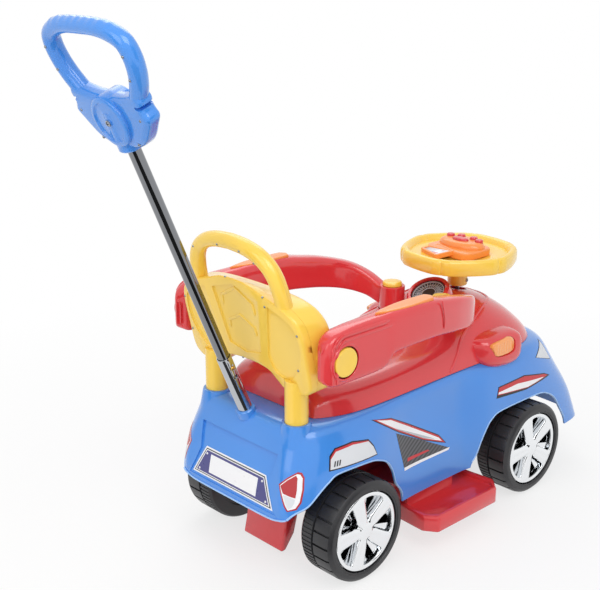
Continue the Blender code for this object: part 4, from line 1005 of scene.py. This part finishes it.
# The sunk fields and the screws of the rear face
BACK_MIDDLE = ((0, .138), (.052, .122), (.036, .030), (0, .022))
BACK_WING = ((.072, .118), (.100, .108), (.122, .092), (.127, .060), (.118, .030),
             (.100, .006), (.088, -.002), (.062, .006), (.052, .030))
BACK_SCREWS = ((-.015, .1456), (.0649, .1316), (.1273, .0855), (.1156, .0247),
               (-.0125, .0089), (.078, -.0205), (-.1294, .0857), (-.1285, .0276),
               (-.0163, .1990), (.0600, .1850), (.033, .1985), (-.0775, .1830), (.0672, .1172))


def inset(outline, amount):
    """A closed outline moved inwards."""
    count = len(outline)
    area = sum(outline[i - 1][0] * outline[i][1] - outline[i][0] * outline[i - 1][1]
               for i in range(count))
    result = []
    for i, point in enumerate(outline):
        run = Vector(outline[(i + 1) % count]) - Vector(outline[i - 1])
        run.normalize()
        inward = Vector((-run.y, run.x)) * (1 if area > 0 else -1)
        result.append(tuple(Vector(point) + inward * amount))
    return result


def back_body():
    """The whole backrest: a cushion shape that narrows to the rear and its hand arch."""
    rear, front = flowing(BACK_REAR, 4), flowing(BACK_FRONT, 4)
    rows = []
    for z, margin in ((0, .0045), (-.0008, .0022), (-.0026, .0006), (-.0048, 0), (SEAM_REAR, 0),
                      (-.0300, 0), (-.0420, 0), (-.0468, .0010), (-.0506, .0034),
                      (-.0532, .0070), (-.0540, .0110)):
        share = min(1.0, -z / .044)
        outline = mirrored([mixed(a, b, share) for a, b in zip(rear, front)])
        rows.append([BACK @ Vector((x, y, z)) for x, y in inset(outline, margin)])
    body = skin(rows)
    path = [BACK @ Vector((x, y, -.0131)) for x, y in mirrored(flowing(BACK_ARCH, 5))]
    return weld(body, swept(path, .0120, .0128, BACK_OUT, 28))


def on_posts(half):
    """Cuts a backrest half level and opens it for the two posts."""
    carve(half, block((-.3, -.1, .216), (.3, .3, BACK_FOOT), 0, 1,
                      at((0, ahead(-POST_BEHIND), 0))))
    for side in (RIGHT, LEFT):
        carve(half, bar(POST_HOLE, .300, .333, back_post(side), 64))


def backrest():
    """Two halves with a seam between them, their screws and the posts they stand on."""
    front = back_body()
    rear = duplicate(front)
    carve(rear, block((-.3, -.2, -.1), (.3, .3, SEAM_REAR), 0, 1, BACK))
    carve(front, block((-.3, -.2, SEAM_FRONT), (.3, .3, .1), 0, 1, BACK))
    on_posts(rear)
    on_posts(front)
    fields = [mirrored(BACK_MIDDLE)]
    fields += [flowing([(side * x, y) for x, y in BACK_WING], 4, True, (0, 8))
               for side in (RIGHT, LEFT)]
    for field in fields:
        carve(rear, slab([field], -.0032, .012, BACK, .0018, 2))
    for side in (RIGHT, LEFT):
        weld(front, bar(.0175, .120, .1464, latch_frame(side), 48, .001))
    stands_for(rear, "backrest_rear", YELLOW_PP, 30)
    stands_for(front, "backrest_front", YELLOW_PP, 30)
    for number, half in enumerate((((.036, .093), (.034, .1115), (0, .131)),
                                   ((.030, .056), (.028, .070), (0, .085))), 1):
        path = [BACK @ Vector((x, y, -.0032)) for x, y in mirrored(flowing(half, 4, False, (1,)))]
        piece(swept(path, .0026, .0018, BACK_OUT), "backrest_chevron_%d" % number, "car_body",
              YELLOW_PP)
    tree = surface_of(rear)
    spots = []
    for x, y in BACK_SCREWS:
        hit = tree.ray_cast(BACK @ Vector((x, y, .05)), -BACK_OUT)[0]
        if hit is not None:
            spots.append(Matrix.Translation(hit) @ BACK.to_3x3().to_4x4())
    screws(spots, "backrest_screw", "car_body", ZINC_STEEL, .0020)
    for name, side in SIDES:
        post = bar(POST_RADIUS, .2335, .3327, back_post(side), 64, .0004)
        stands_for(post, "backrest_post_" + name, YELLOW_PP)


# Guard rails ----------------------------------------------------------------------------------

# The level that the inlay rests on
INLAY_FLOOR = .4258
# The rail's line as (x, ahead, bottom, top, half thickness)
GUARD_LINE = (
    (.1620, -.0930, .3590, .3950, .0035), (.1624, -.0925, .3550, .4020, .0070),
    (.1629, -.0908, .3520, .4080, .0105), (.1633, -.0880, .3493, .4130, .0134),
    (.1636, -.0840, .3473, .4170, .0153), (.1638, -.0780, .3463, .4210, .0164),
    (.1639, -.0680, .3457, .4245, .0170),
    (GUARD_X, -.0400, .3455, .4280, .0170), (GUARD_X, .0000, .3460, .4290, .0170),
    (GUARD_X, .0240, .3480, .4292, .0172), (GUARD_X, .0340, .3560, .4300, .0178),
    (GUARD_X, .0440, .3660, .4308, .0184), (GUARD_X, .0700, .3685, .4310, .0190),
    (GUARD_X, .1000, .3690, .4308, .0190), (.1630, .1400, .3680, .4275, .0184),
    (.1605, .1750, .3640, .4210, .0172), (.1565, .2080, .3595, .4150, .0160),
    (.1470, .2450, .3530, .4055, .0150), (.1300, .2720, .3465, .3955, .0140),
    (.1060, .2890, .3390, .3810, .0130), (.0800, .2970, .3280, .3645, .0120),
    (.0700, .2985, .3270, .3630, .0115),
)


def guard_section(count=24):
    """A rounded upright oblong, softer at the top than at the foot."""
    points = []
    for turn in turns(count, 0.5):
        c, s = cos(turn), sin(turn)
        power = 0.42 if s > 0 else 0.26
        points.append((abs(c) ** power * (1 if c > 0 else -1),
                       abs(s) ** power * (1 if s > 0 else -1)))
    return points


def leaf(side, grow=0.0):
    """The inlay's outline: pointed at the rear, widest in the middle, cut off at the front."""
    line = ((.164, .0160), (.1555, .0420), (.1512, .0750), (.1508, .1080), (.1525, .1370),
            (.1640, .1420), (.1745, .1350), (.1762, .1080), (.1763, .0750), (.1722, .0420))
    middle = Vector((.164, .085))
    result = []
    for x, distance in flowing(line, 4, True, (0, 4, 6)):
        away = Vector((x, distance)) - middle
        away = away * (1 + grow / max(away.length, .01))
        result.append((side * (middle.x + away.x), ahead(middle.y + away.y)))
    return result


def guard_rail(side, post, latch):
    """A section swept along the rail's line, opened for its post, latch and inlay."""
    line = flowing(GUARD_LINE, 4)
    rows = []
    for i, (x, distance, low, high, thick) in enumerate(line):
        before, after = line[max(i - 1, 0)], line[min(i + 1, len(line) - 1)]
        run = Vector((after[0] - before[0], after[1] - before[1]))
        if i == 0:
            run = Vector((0, 1))
        run.normalize()
        middle, half = (low + high) / 2, (high - low) / 2
        rows.append([(side * (x + run.y * u * thick), ahead(distance - run.x * u * thick),
                      middle + v * half) for u, v in guard_section()])
    rail = skin(rows)
    weld(rail, bar(.0225, .3185, .3645, post, 56, .0010))
    carve(rail, bar(.0149, .3, .4, post, 48))
    carve(rail, bar(.0245, .1715, .2, latch, 56))
    carve(rail, bar(.0089, .1, .18, latch, 32))
    return carve(rail, slab([leaf(side, .0006)], INLAY_FLOOR, .45))


def guard_trim(name, side, latch):
    """The ring round the latch, two raised steps and the seam on the rail's outer face."""
    body = "guard_" + name
    outer = GUARD_X + .0170
    lip = spun([(.0245, outer - .003), (.0245, outer + .0008), (.0252, outer + .0014),
                (.0270, outer + .0012), (.0284, outer - .0002), (.0284, outer - .003)],
               latch, 56)
    piece(lip, "latch_ring_" + name, body, RED_PP)
    for number, margin in enumerate((.0075, .0150)):
        corner = .030 - margin * .7
        edge = [(-.092 + margin, .3500), (-.092 + margin, .4285 - margin - corner)]
        edge += [(-.092 + margin + corner * (1 - cos(t)),
                  .4285 - margin - corner * (1 - sin(t)))
                 for t in [radians(a) for a in range(15, 91, 15)]]
        edge += [(-.010, .4288 - margin), (.030 + .02 * number, .4290 - margin)]
        path = [(side * (outer - .0006 - (.0016 if d < -.082 else 0)), ahead(d), z)
                for d, z in flowing(edge, 3)]
        step = swept(path, .0030, .0017, (side, 0, 0))
        piece(step, "rail_step_%s_%d" % (name, number + 1), body, RED_PP)
    seam = [(side * (x + .0002), ahead(d), z) for x, d, z in
            ((GUARD_X + .0186, .1460, .4260), (GUARD_X + .0187, .1500, .4130),
             (GUARD_X + .0180, .1550, .3950), (GUARD_X + .0170, .1560, .3780))]
    groove = swept(flowing(seam, 4), .0016, .0010, (side, 0, 0))
    piece(groove, "guard_seam_" + name, body, RED_PP)


def guard(name, side):
    """One rail with its trim, inlay, latch button and front post."""
    post, latch = front_post(side), latch_frame(side)
    stands_for(guard_rail(side, post, latch), "guard_rail_" + name, RED_PP)
    guard_trim(name, side, latch)
    inlay = slab([leaf(side)], INLAY_FLOOR, .4322, edge=.0016)
    stands_for(inlay, "guard_inlay_" + name, ORANGE_ABS)
    disc = spun([(0, .1510), (.0085, .1510), (.0085, .1765), (.0214, .1765), (.0220, .1771),
                 (.0220, .1812), (.0214, .1822), (.0195, .1829), (.0175, .1825), (.0, .1827)],
                latch, 56)
    stands_for(disc, "latch_button_" + name, YELLOW_PP)
    pin = spun([(0, .3648), (.0145, .3648), (.0145, .3182), (.0205, .3182), (.0205, .2903),
                (0, .2903)], post, 56)
    stands_for(pin, "hinge_post_" + name, YELLOW_PP)
    cap = spun([(0, .3722), (.0128, .3720), (.0158, .3712), (.0172, .3695), (.0175, .3675),
                (.0175, .3651), (0, .3651)], post, 56)
    stands_for(cap, "hinge_cap_" + name, YELLOW_PP)


# Steering wheel -------------------------------------------------------------------------------

WHEEL_HUB = at((0, ahead(STEER_AHEAD), RIM_Z))
LOBE = pi / 3


def lobes(turn):
    """Reach of the rim: six soft lobes, each ended by a narrow upright groove."""
    inside = ((turn + radians(8)) % LOBE) - LOBE / 2
    reach = min(1.0, .962 / cos(inside) ** .55)
    return reach - .024 * exp(-((LOBE / 2 - abs(inside)) / .022) ** 2)


def steering_wheel():
    """The lobed rim, its dish, the boss on the column and the screw."""
    section = ((.0855, .0040), (.0880, .0080), (.0910, .0122), (.0945, .0143), (.0985, .0146),
               (.1015, .0130), (.1034, .0088), (.1040, .0000), (.1034, -.0085), (.1012, -.0128),
               (.0965, -.0142), (.0920, -.0125), (.0880, -.0080), (.0860, -.0045))
    rows = []
    for turn in turns(240, .5):
        rows.append([(r * lobes(turn) * cos(turn), r * lobes(turn) * sin(turn), z)
                     for r, z in section])
    rim = settle(skin(rows, wrap=True), WHEEL_HUB)
    stands_for(rim, "steering_wheel", YELLOW_PP, 40)
    dish = spun([(0, -.006), (.0855, -.0055), (.0862, .0050), (.0800, .0062), (.066, .0062),
                 (.058, .0040), (.050, .0016), (0, .0015)], WHEEL_HUB, 96)
    piece(dish, "wheel_dish", "steering", YELLOW_PP)
    boss = spun([(0, -.0050), (.034, -.0050), (.025, -.0080), (.0178, -.0140),
                 (.0178, -.0542), (.0170, -.0550), (0, -.0550)], WHEEL_HUB, 64)
    carve(boss, bar(.0043, -.08, -.0195, WHEEL_HUB, 32))
    piece(boss, "wheel_boss", "steering", YELLOW_PP)
    head = screw_head(.0035, .0021)
    settle(head, at((0, ahead(STEER_AHEAD), .3655), (0, radians(-90), radians(17)))
           @ Matrix.Translation((0, 0, .0180)))
    stands_for(head, "column_screw", ZINC_STEEL)


def rounded_box(x, y, corner):
    """The outline of an oblong with round corners, from its half sizes."""
    points = []
    for quarter, (a, b) in enumerate(((1, 1), (-1, 1), (-1, -1), (1, -1))):
        for step in range(7):
            turn = radians(90 * quarter + 90 * step / 6)
            points.append((a * (x - corner) + corner * cos(turn),
                           b * (y - corner) + corner * sin(turn)))
    return points


# Horn and tune buttons as (name, middle, half sizes)
HORN_BUTTONS = (("oval", (0, -.004), (.0165, .0085)), ("round_1", (-.032, -.016), (.0072, .0072)),
                ("round_2", (-.014, -.024), (.0072, .0072)),
                ("round_3", (.014, -.024), (.0072, .0072)),
                ("round_4", (.032, -.016), (.0072, .0072)))


def sound_box():
    """The orange box: a wide foot, a crowned top with five red buttons and a picture frame."""
    base = WHEEL_HUB @ Matrix.Translation((0, 0, .0060))
    foot = slab([rounded_box(.050, .037, .018)], -.0042, .0095, base, .003, 3)
    rows = []
    for share, z in ((1, .006), (1, .0112), (.985, .0135), (.94, .0165), (.87, .0187),
                     (.80, .0197), (.70, .0200)):
        rows.append([(.0465 * share * cos(turn), -.0085 + .0270 * share * sin(turn)
                      - (1 - share) * .004, z) for turn in turns(64)])
    weld(foot, settle(skin(rows), base))
    for _, (x, y), (a, b) in HORN_BUTTONS:
        hole = [(x + (a + .0006) * cos(turn), y + (b + .0006) * sin(turn)) for turn in turns(32)]
        carve(foot, slab([hole], .0104, .03, base))
    stands_for(foot, "horn_pad", ORANGE_ABS)
    for name, (x, y), (a, b) in HORN_BUTTONS:
        rows = [[(x + a * share * cos(turn), y + b * share * sin(turn), z) for turn in turns(32)]
                for share, z in ((1, .0125), (1, .0218), (.96, .0229), (.86, .0237), (.5, .0240),
                                 (.001, .0241))]
        stands_for(settle(skin(rows), base), "horn_button_" + name, RED_ABS)
    tilt = base @ at((.0140, .0410, .0042), (radians(-6), 0, radians(-20)))
    hole = rounded_box(.0225, .0150, .003)
    picture_frame = slab([rounded_box(.0275, .0200, .005), hole], -.0040, .0046, tilt, .0012, 2)
    piece(picture_frame, "picture_frame", "steering", ORANGE_ABS)
    card = slab([[(x * .998, y * .998) for x, y in hole]], -.0040, .0030, tilt, .0003, 1)
    piece(card, "picture_card", "steering", PICTURE_FILM)


# Dash and lamps -------------------------------------------------------------------------------

def gauge():
    """A bright turned bezel round a black face with silver fins, like a fan."""
    bezel = spun([(0, .0004), (.0305, .0004), (.0310, .0010), (.0310, .0080), (.0302, .0088),
                  (.0288, .0086), (.0268, .0050), (.0150, .0056), (.0142, .0064), (0, .0066)],
                 GAUGE, 72)
    stands_for(bezel, "gauge_dial", BLACK_PE)
    for number, (inner, outer, z) in enumerate(((.0272, .0290, .0078), (.0205, .0213, .0057),
                                                (.0118, .0132, .0066)), 1):
        ring = spun([(inner, z - .002), (outer, z - .002), (outer, z + .0002),
                     ((inner + outer) / 2, z + .0007), (inner, z + .0002)], GAUGE, 72)
        piece(ring, "gauge_ring_%d" % number, "car_body", SILVER_ABS)
    fin = block((.0142, -.0007, .0040), (.0262, .0007, .0066), .0003, 1)
    for number, turn in enumerate(turns(30), 1):
        piece(settle(duplicate(fin), GAUGE @ Matrix.Rotation(turn, 4, "Z")),
              "gauge_fin_%d" % number, "car_body", SILVER_ABS)
    bpy.data.objects.remove(fin)


def lens(name, side):
    """A crowned amber lens with upright flutes inside its edge."""
    shape = slab([lens_outline()], .1280, .1478, side_frame(side), .0030, 4)
    for k in range(7):
        middle = .3405 + .0066 * k
        weld(shape, spun([(0, .2775), (.0030, .2775), (.0030, .2955), (0, .2955)],
                         at((side * .1453, ahead(middle), 0)), 20))
    stands_for(shape, "indicator_lens_" + name, LAMP_PS)


# Stickers -------------------------------------------------------------------------------------

# How far each layer of film stands off the shell
LIFTS = (0, .0003, .0006, .0009, .0012, .0015)


def sticker(name, target, corners, axis, side, lift, film, cells=(36, 18)):
    """A film cut from a grid to a convex outline and laid on the shell along one axis."""
    us, zs = zip(*corners)
    bpy.ops.mesh.primitive_grid_add(x_subdivisions=cells[0], y_subdivisions=cells[1], size=1)
    obj = bpy.context.object
    wide, tall = max(us) - min(us), max(zs) - min(zs)
    for vertex in obj.data.vertices:
        u = min(us) + (vertex.co.x + .5) * wide
        z = min(zs) + (vertex.co.y + .5) * tall
        vertex.co = (u, 0, z)
    edit(obj, "FACE")
    edges = list(zip(corners, [*corners[1:], corners[0]]))
    turn = sum(one[0] * two[1] - two[0] * one[1] for one, two in edges)
    for one, two in edges:
        along = Vector((two[0] - one[0], 0, two[1] - one[1])).normalized()
        out = Vector((along.z, 0, -along.x)) * (1 if turn > 0 else -1)
        bpy.ops.mesh.select_all(action="SELECT")
        bpy.ops.mesh.bisect(plane_co=(one[0], 0, one[1]), plane_no=out, clear_outer=True,
                            threshold=0.000001)
    leave()
    for vertex in obj.data.vertices:
        u, z = vertex.co.x, vertex.co.z
        if axis == "X":
            start, way = Vector((side * .3, ahead(u), z)), Vector((-side, 0, 0))
        else:
            start, way = Vector((u, ahead(-.3), z)), Vector((0, -1, 0))
        spot, normal = target.ray_cast(start, way)[:2]
        if spot is None:
            spot, normal = target.find_nearest(start + way * .15)[:2]
        vertex.co = spot + normal * lift
    edit(obj, "FACE")
    bpy.ops.mesh.normals_make_consistent(inside=False)
    leave()
    outer = obj.data.polygons[len(obj.data.polygons) // 2]
    towards = Vector((side, 0, 0)) if axis == "X" else Vector((0, 1, 0))
    if outer.normal.dot(towards) < 0:
        obj.data.flip_normals()
    apply(obj, "SOLIDIFY", thickness=.0003, offset=-1)
    return piece(obj, name, "car_body", film)


# Films on each side as (name, layer, film, corners as (ahead, height) and sometimes the cells)
SIDE_FILMS = (
    ("rear_arch_film_edge", 1, BLACK_FILM,
     ((-.0590, .1965), (-.0545, .2185), (-.0435, .2282), (-.0100, .2305), (.0230, .2242),
      (.0335, .2112), (.0410, .1935))),
    ("rear_arch_film_band", 2, RED_FILM,
     ((-.0565, .1985), (-.0525, .2170), (-.0425, .2265), (-.0100, .2285), (.0218, .2224),
      (.0316, .2100), (.0386, .1955))),
    ("rear_arch_film", 3, PEARL_FILM,
     ((-.0565, .1985), (-.0531, .2135), (-.0425, .2229), (-.0100, .2252), (.0221, .2212),
      (.0316, .2100), (.0386, .1955))),
    *(("rear_arch_film_tick_%d" % number, 4, BLACK_FILM,
       ((start, .2015), (start + .0022, .2015), (start + .0050, .2095), (start + .0028, .2095)),
       (4, 6)) for number, start in enumerate((-.0500, -.0455, -.0410), 1)),
    ("flash_edge", 1, BLACK_FILM,
     ((.0365, .2490), (.0836, .2378), (.1295, .2128), (.2060, .1692), (.2230, .1500),
      (.2060, .1560), (.1679, .1712), (.1023, .2070))),
    ("flash_rim", 2, RED_FILM,
     ((.0410, .2478), (.0836, .2366), (.1290, .2114), (.2050, .1680), (.2195, .1520),
      (.1679, .1726), (.1023, .2085))),
    ("flash", 3, WHITE_FILM,
     ((.0480, .2450), (.0836, .2345), (.1270, .2095), (.2030, .1665), (.2120, .1570),
      (.1679, .1748), (.1030, .2105))),
    ("flash_stripe", 4, GREY_FILM,
     ((.0900, .2190), (.1280, .2000), (.1750, .1760), (.1950, .1660), (.1679, .1748),
      (.1040, .2100))),
    ("wedge", 1, CARBON_FILM, ((.0960, .2075), (.2300, .1395), (.1140, .1420))),
    ("wedge_line", 2, WHITE_FILM,
     ((.1140, .1425), (.2310, .1400), (.2280, .1362), (.1145, .1372))),
    ("wedge_mark", 2, RED_FILM,
     ((.1230, .1500), (.1800, .1500), (.1760, .1530), (.1240, .1560))),
    ("front_flash_edge", 1, BLACK_FILM,
     ((.5320, .1830), (.4885, .2035), (.4230, .2180), (.3485, .2168), (.3380, .1870),
      (.4000, .1900), (.4617, .1885))),
    ("front_flash", 2, RED_FILM,
     ((.5297, .1837), (.4878, .2019), (.4227, .2162), (.3503, .2151), (.3401, .1890),
      (.3999, .1922), (.4617, .1907))),
    ("front_flash_foot", 3, WHITE_FILM,
     ((.5240, .1850), (.4817, .1984), (.4015, .2087), (.3479, .2074), (.3410, .1900),
      (.3999, .1932), (.4617, .1917))),
    ("headlamp_film_edge", 1, BLACK_FILM, ((.4670, .2370), (.5040, .2568), (.5260, .2170))),
    ("headlamp_film", 2, PEARL_FILM, ((.4693, .2366), (.5031, .2547), (.5240, .2186))),
)
# The two-part lamp film round a rear corner, red above and white below, as (side, height)
TAIL_FILMS = (
    ("edge", 1, LAMP_RED_FILM,
     ((.1041, .1814), (.1145, .1931), (.1245, .2018), (.1290, .2010), (.1330, .1940),
      (.1355, .1764), (.1359, .1570), (.1325, .1465), (.1222, .1428), (.1175, .1505))),
    ("white", 2, WHITE_FILM,
     ((.1065, .1808), (.1155, .1912), (.1245, .1992), (.1280, .1985), (.1315, .1930),
      (.1338, .1764), (.1340, .1580), (.1312, .1488), (.1230, .1450), (.1190, .1520))),
    ("red", 3, LAMP_RED_FILM,
     ((.1078, .1803), (.1160, .1900), (.1240, .1970), (.1265, .1930), (.1288, .1764),
      (.1290, .1640), (.1133, .1700))),
    ("clear", 3, PEARL_FILM,
     ((.1140, .1683), (.1290, .1622), (.1288, .1560), (.1268, .1500), (.1235, .1475),
      (.1200, .1530))),
)


def stickers(tree, name, side):
    """The films on one side of the body and round its rear corner."""
    for part, layer, film, corners, *cells in SIDE_FILMS:
        sticker(part + "_" + name, tree, corners, "X", side, LIFTS[layer], film, *cells)
    for part, layer, film, corners in TAIL_FILMS:
        sticker("tail_" + part + "_" + name, tree, [(side * u, z) for u, z in corners], "Y", side,
                LIFTS[layer], film, (18, 26))


def plate(tree):
    """A bare plate: white rim, black line, indigo ends and a plain white field."""
    def tapered(low, high, margin):
        slope = (.0953 - .0707) / .047
        foot, top = [.0953 - slope * (z - .135) - margin for z in (low, high)]
        return ((-foot, low), (foot, low), (top, high), (-top, high))

    for part, layer, film, corners in (
            ("rim", 1, WHITE_FILM, tapered(.1350, .1820, 0)),
            ("line", 2, BLACK_FILM, tapered(.1375, .1795, .0030)),
            ("gap", 3, WHITE_FILM, tapered(.1390, .1780, .0048)),
            ("field", 4, INDIGO_FILM, tapered(.1405, .1765, .0068)),
            ("blank", 5, WHITE_FILM,
             ((-.0560, .1440), (.0560, .1440), (.0560, .1730), (-.0560, .1730)))):
        sticker("plate_" + part, tree, corners, "Y", 1, LIFTS[layer], film, (44, 14))
    spots = []
    for x, z in ((.0790, .1440), (-.0790, .1440), (.0655, .1715), (-.0655, .1715)):
        spot, normal = tree.ray_cast(Vector((x, ahead(-.3), z)), Vector((0, -1, 0)))[:2]
        spots.append(Matrix.Translation(spot + normal * .0013)
                     @ normal.to_track_quat("Z", "Y").to_matrix().to_4x4())
    screws(spots, "plate_screw", "car_body", WHITE_FILM, .0018)


# Camera, lamps and floor ----------------------------------------------------------------------

CAR_MIDDLE = (0, 0, .3)


def direct_rays(tree):
    """1 for what the camera, clear pieces and mirrors see, 0 for light that only falls."""
    rays = add(tree, "ShaderNodeLightPath").outputs
    seen = rays["Is Camera Ray"]
    for kind in ("Is Transmission Ray", "Is Glossy Ray"):
        seen = add(tree, "ShaderNodeMath", None, {0: seen, 1: rays[kind]},
                   operation="MAXIMUM").outputs[0]
    return seen


def paper_floor():
    """Seamless paper that fades to plain white away from the car."""
    bpy.ops.mesh.primitive_plane_add(size=14, location=(0, 0, -0.0002))
    floor = bpy.context.object
    floor.name = "studio_floor"
    material, tree, shader, place = start_material("seamless_paper", "#F6F6F6", 0.7,
                                                   Specular_IOR_Level=0.2)
    ripple(tree, shader, noise(tree, place, 260.0, 2.0), 0.1, 0.0001)
    white = add(tree, "ShaderNodeEmission", {"Color": srgb("#FFFFFF"), "Strength": 1.0})
    reach = add(tree, "ShaderNodeVectorMath", None, {0: place}, operation="LENGTH")
    fade = add(tree, "ShaderNodeMapRange", {"From Min": 0.55, "From Max": 1.3, "To Min": 0.72,
                                            "To Max": 1.0}, {"Value": reach.outputs["Value"]})
    share = add(tree, "ShaderNodeMath", None,
                {0: direct_rays(tree), 1: fade.outputs["Result"]}, operation="MULTIPLY")
    mix = add(tree, "ShaderNodeMixShader", None,
              {0: share.outputs[0], 1: shader.outputs[0], 2: white.outputs[0]})
    tree.links.new(mix.outputs[0], tree.nodes["Material Output"].inputs["Surface"])
    floor.data.materials.append(material)


def white_world():
    world = bpy.data.worlds.new("studio_world")
    bpy.context.scene.world = world
    world.use_nodes = True
    tree = world.node_tree
    light, white = [add(tree, "ShaderNodeBackground",
                        {"Color": srgb("#FFFFFF"), "Strength": strength})
                    for strength in (0.62, 1.0)]
    mix = add(tree, "ShaderNodeMixShader", None,
              {0: direct_rays(tree), 1: light.outputs[0], 2: white.outputs[0]})
    tree.links.new(mix.outputs[0], tree.nodes["World Output"].inputs["Surface"])


def black_cards():
    """Cards that give the bright metal its dark streaks. The one on the floor is for the pole."""
    material = start_material("black_card", "#141414", 0.9)[0]
    for name, place, size in (("black_card_1", (-2.9, -0.4, 0.9), (1.5, 1.9)),
                              ("black_card_2", (0.7, 3.0, 0.8), (1.3, 1.7)),
                              ("black_card_floor", (-.75, .70, .012), (1, 1))):
        bpy.ops.mesh.primitive_plane_add(size=1, location=place)
        card = bpy.context.object
        card.name = name
        card.scale = (*size, 1)
        card.data.materials.append(material)
        card.visible_camera = card.visible_diffuse = card.visible_shadow = False
        if name == "black_card_floor":
            card.visible_transmission = False
        else:
            card.rotation_euler = facing(place, CAR_MIDDLE, "Z")


def studio():
    """The floor, the surroundings, three soft lamps and the camera of the photograph."""
    paper_floor()
    white_world()
    black_cards()
    for name, place, size, power in (("key_softbox", (-1.6, 0.9, 2.3), 1.6, 26),
                                     ("fill_softbox", (-0.2, 2.4, 1.6), 1.6, 12),
                                     ("top_softbox", (1.3, -0.9, 2.2), 1.8, 14)):
        data = bpy.data.lights.new(name, "AREA")
        data.size = size
        data.energy = power
        lamp = bpy.data.objects.new(name, data)
        lamp.location = place
        lamp.rotation_euler = facing(place, CAR_MIDDLE, "-Z")
        bpy.context.scene.collection.objects.link(lamp)
    data = bpy.data.cameras.new("camera")
    data.lens = 67.9
    data.sensor_width = 36.0
    camera = bpy.data.objects.new("camera", data)
    camera.location = (-1.2244, 1.2658, 0.9612)
    bearing, dip = radians(43.28), radians(17.83)
    view = Vector((cos(bearing) * cos(dip), -sin(bearing) * cos(dip), -sin(dip)))
    camera.rotation_euler = view.to_track_quat("-Z", "Y").to_euler()
    bpy.context.scene.collection.objects.link(camera)
    bpy.context.scene.camera = camera
    bpy.context.scene.view_settings.view_transform = "Standard"


studio()
body_shell, body_foot = blue_body()
bumper_lip(body_foot)
body_tree = surface_of(body_shell)
for name, side in SIDES:
    arch_lip(body_tree, side, REAR_ARCH, 0, "rear_arch_lip_" + name)
    arch_lip(body_tree, side, FRONT_ARCH, WHEELBASE, "front_arch_lip_" + name)
seat_tree = surface_of(red_shell())
for name, side in SIDES:
    cowl_piping(seat_tree, name, side)
for end, axle in (("front", WHEELBASE), ("rear", 0)):
    for name, side in SIDES:
        wheel(end + "_" + name, side, axle)
        hubcap(end + "_" + name, side, axle)

handle_loop()
handle_hub()
pole_and_sleeve()
backrest()
steering_wheel()
sound_box()
gauge()
for name, side in SIDES:
    guard(name, side)
    lens(name, side)
    stickers(body_tree, name, side)
    refined("footstep_" + name, RED_PP, .0012)
refined("anti_tip_block", RED_PP, .0015)
plate(body_tree)

# Pieces whose solids already have the real shape keep them and get their finish
KEPT = {"floor_pan": RED_PP, "rear_axle_bearing": RED_PP, "rear_axle": ZINC_STEEL,
        "front_axle_beam": BLACK_PE, "kingpin": ZINC_STEEL, "steering_knuckle": ZINC_STEEL,
        "tie_rod": ZINC_STEEL, "steering_rod": ZINC_STEEL, "sound_board": GREEN_BOARD,
        "cap_nut": ZINC_STEEL}
for node, obj in frame["nodes"].items():
    for start, material in KEPT.items():
        if node.startswith(start):
            obj.data.materials.clear()
            obj.data.materials.append(material)
            break
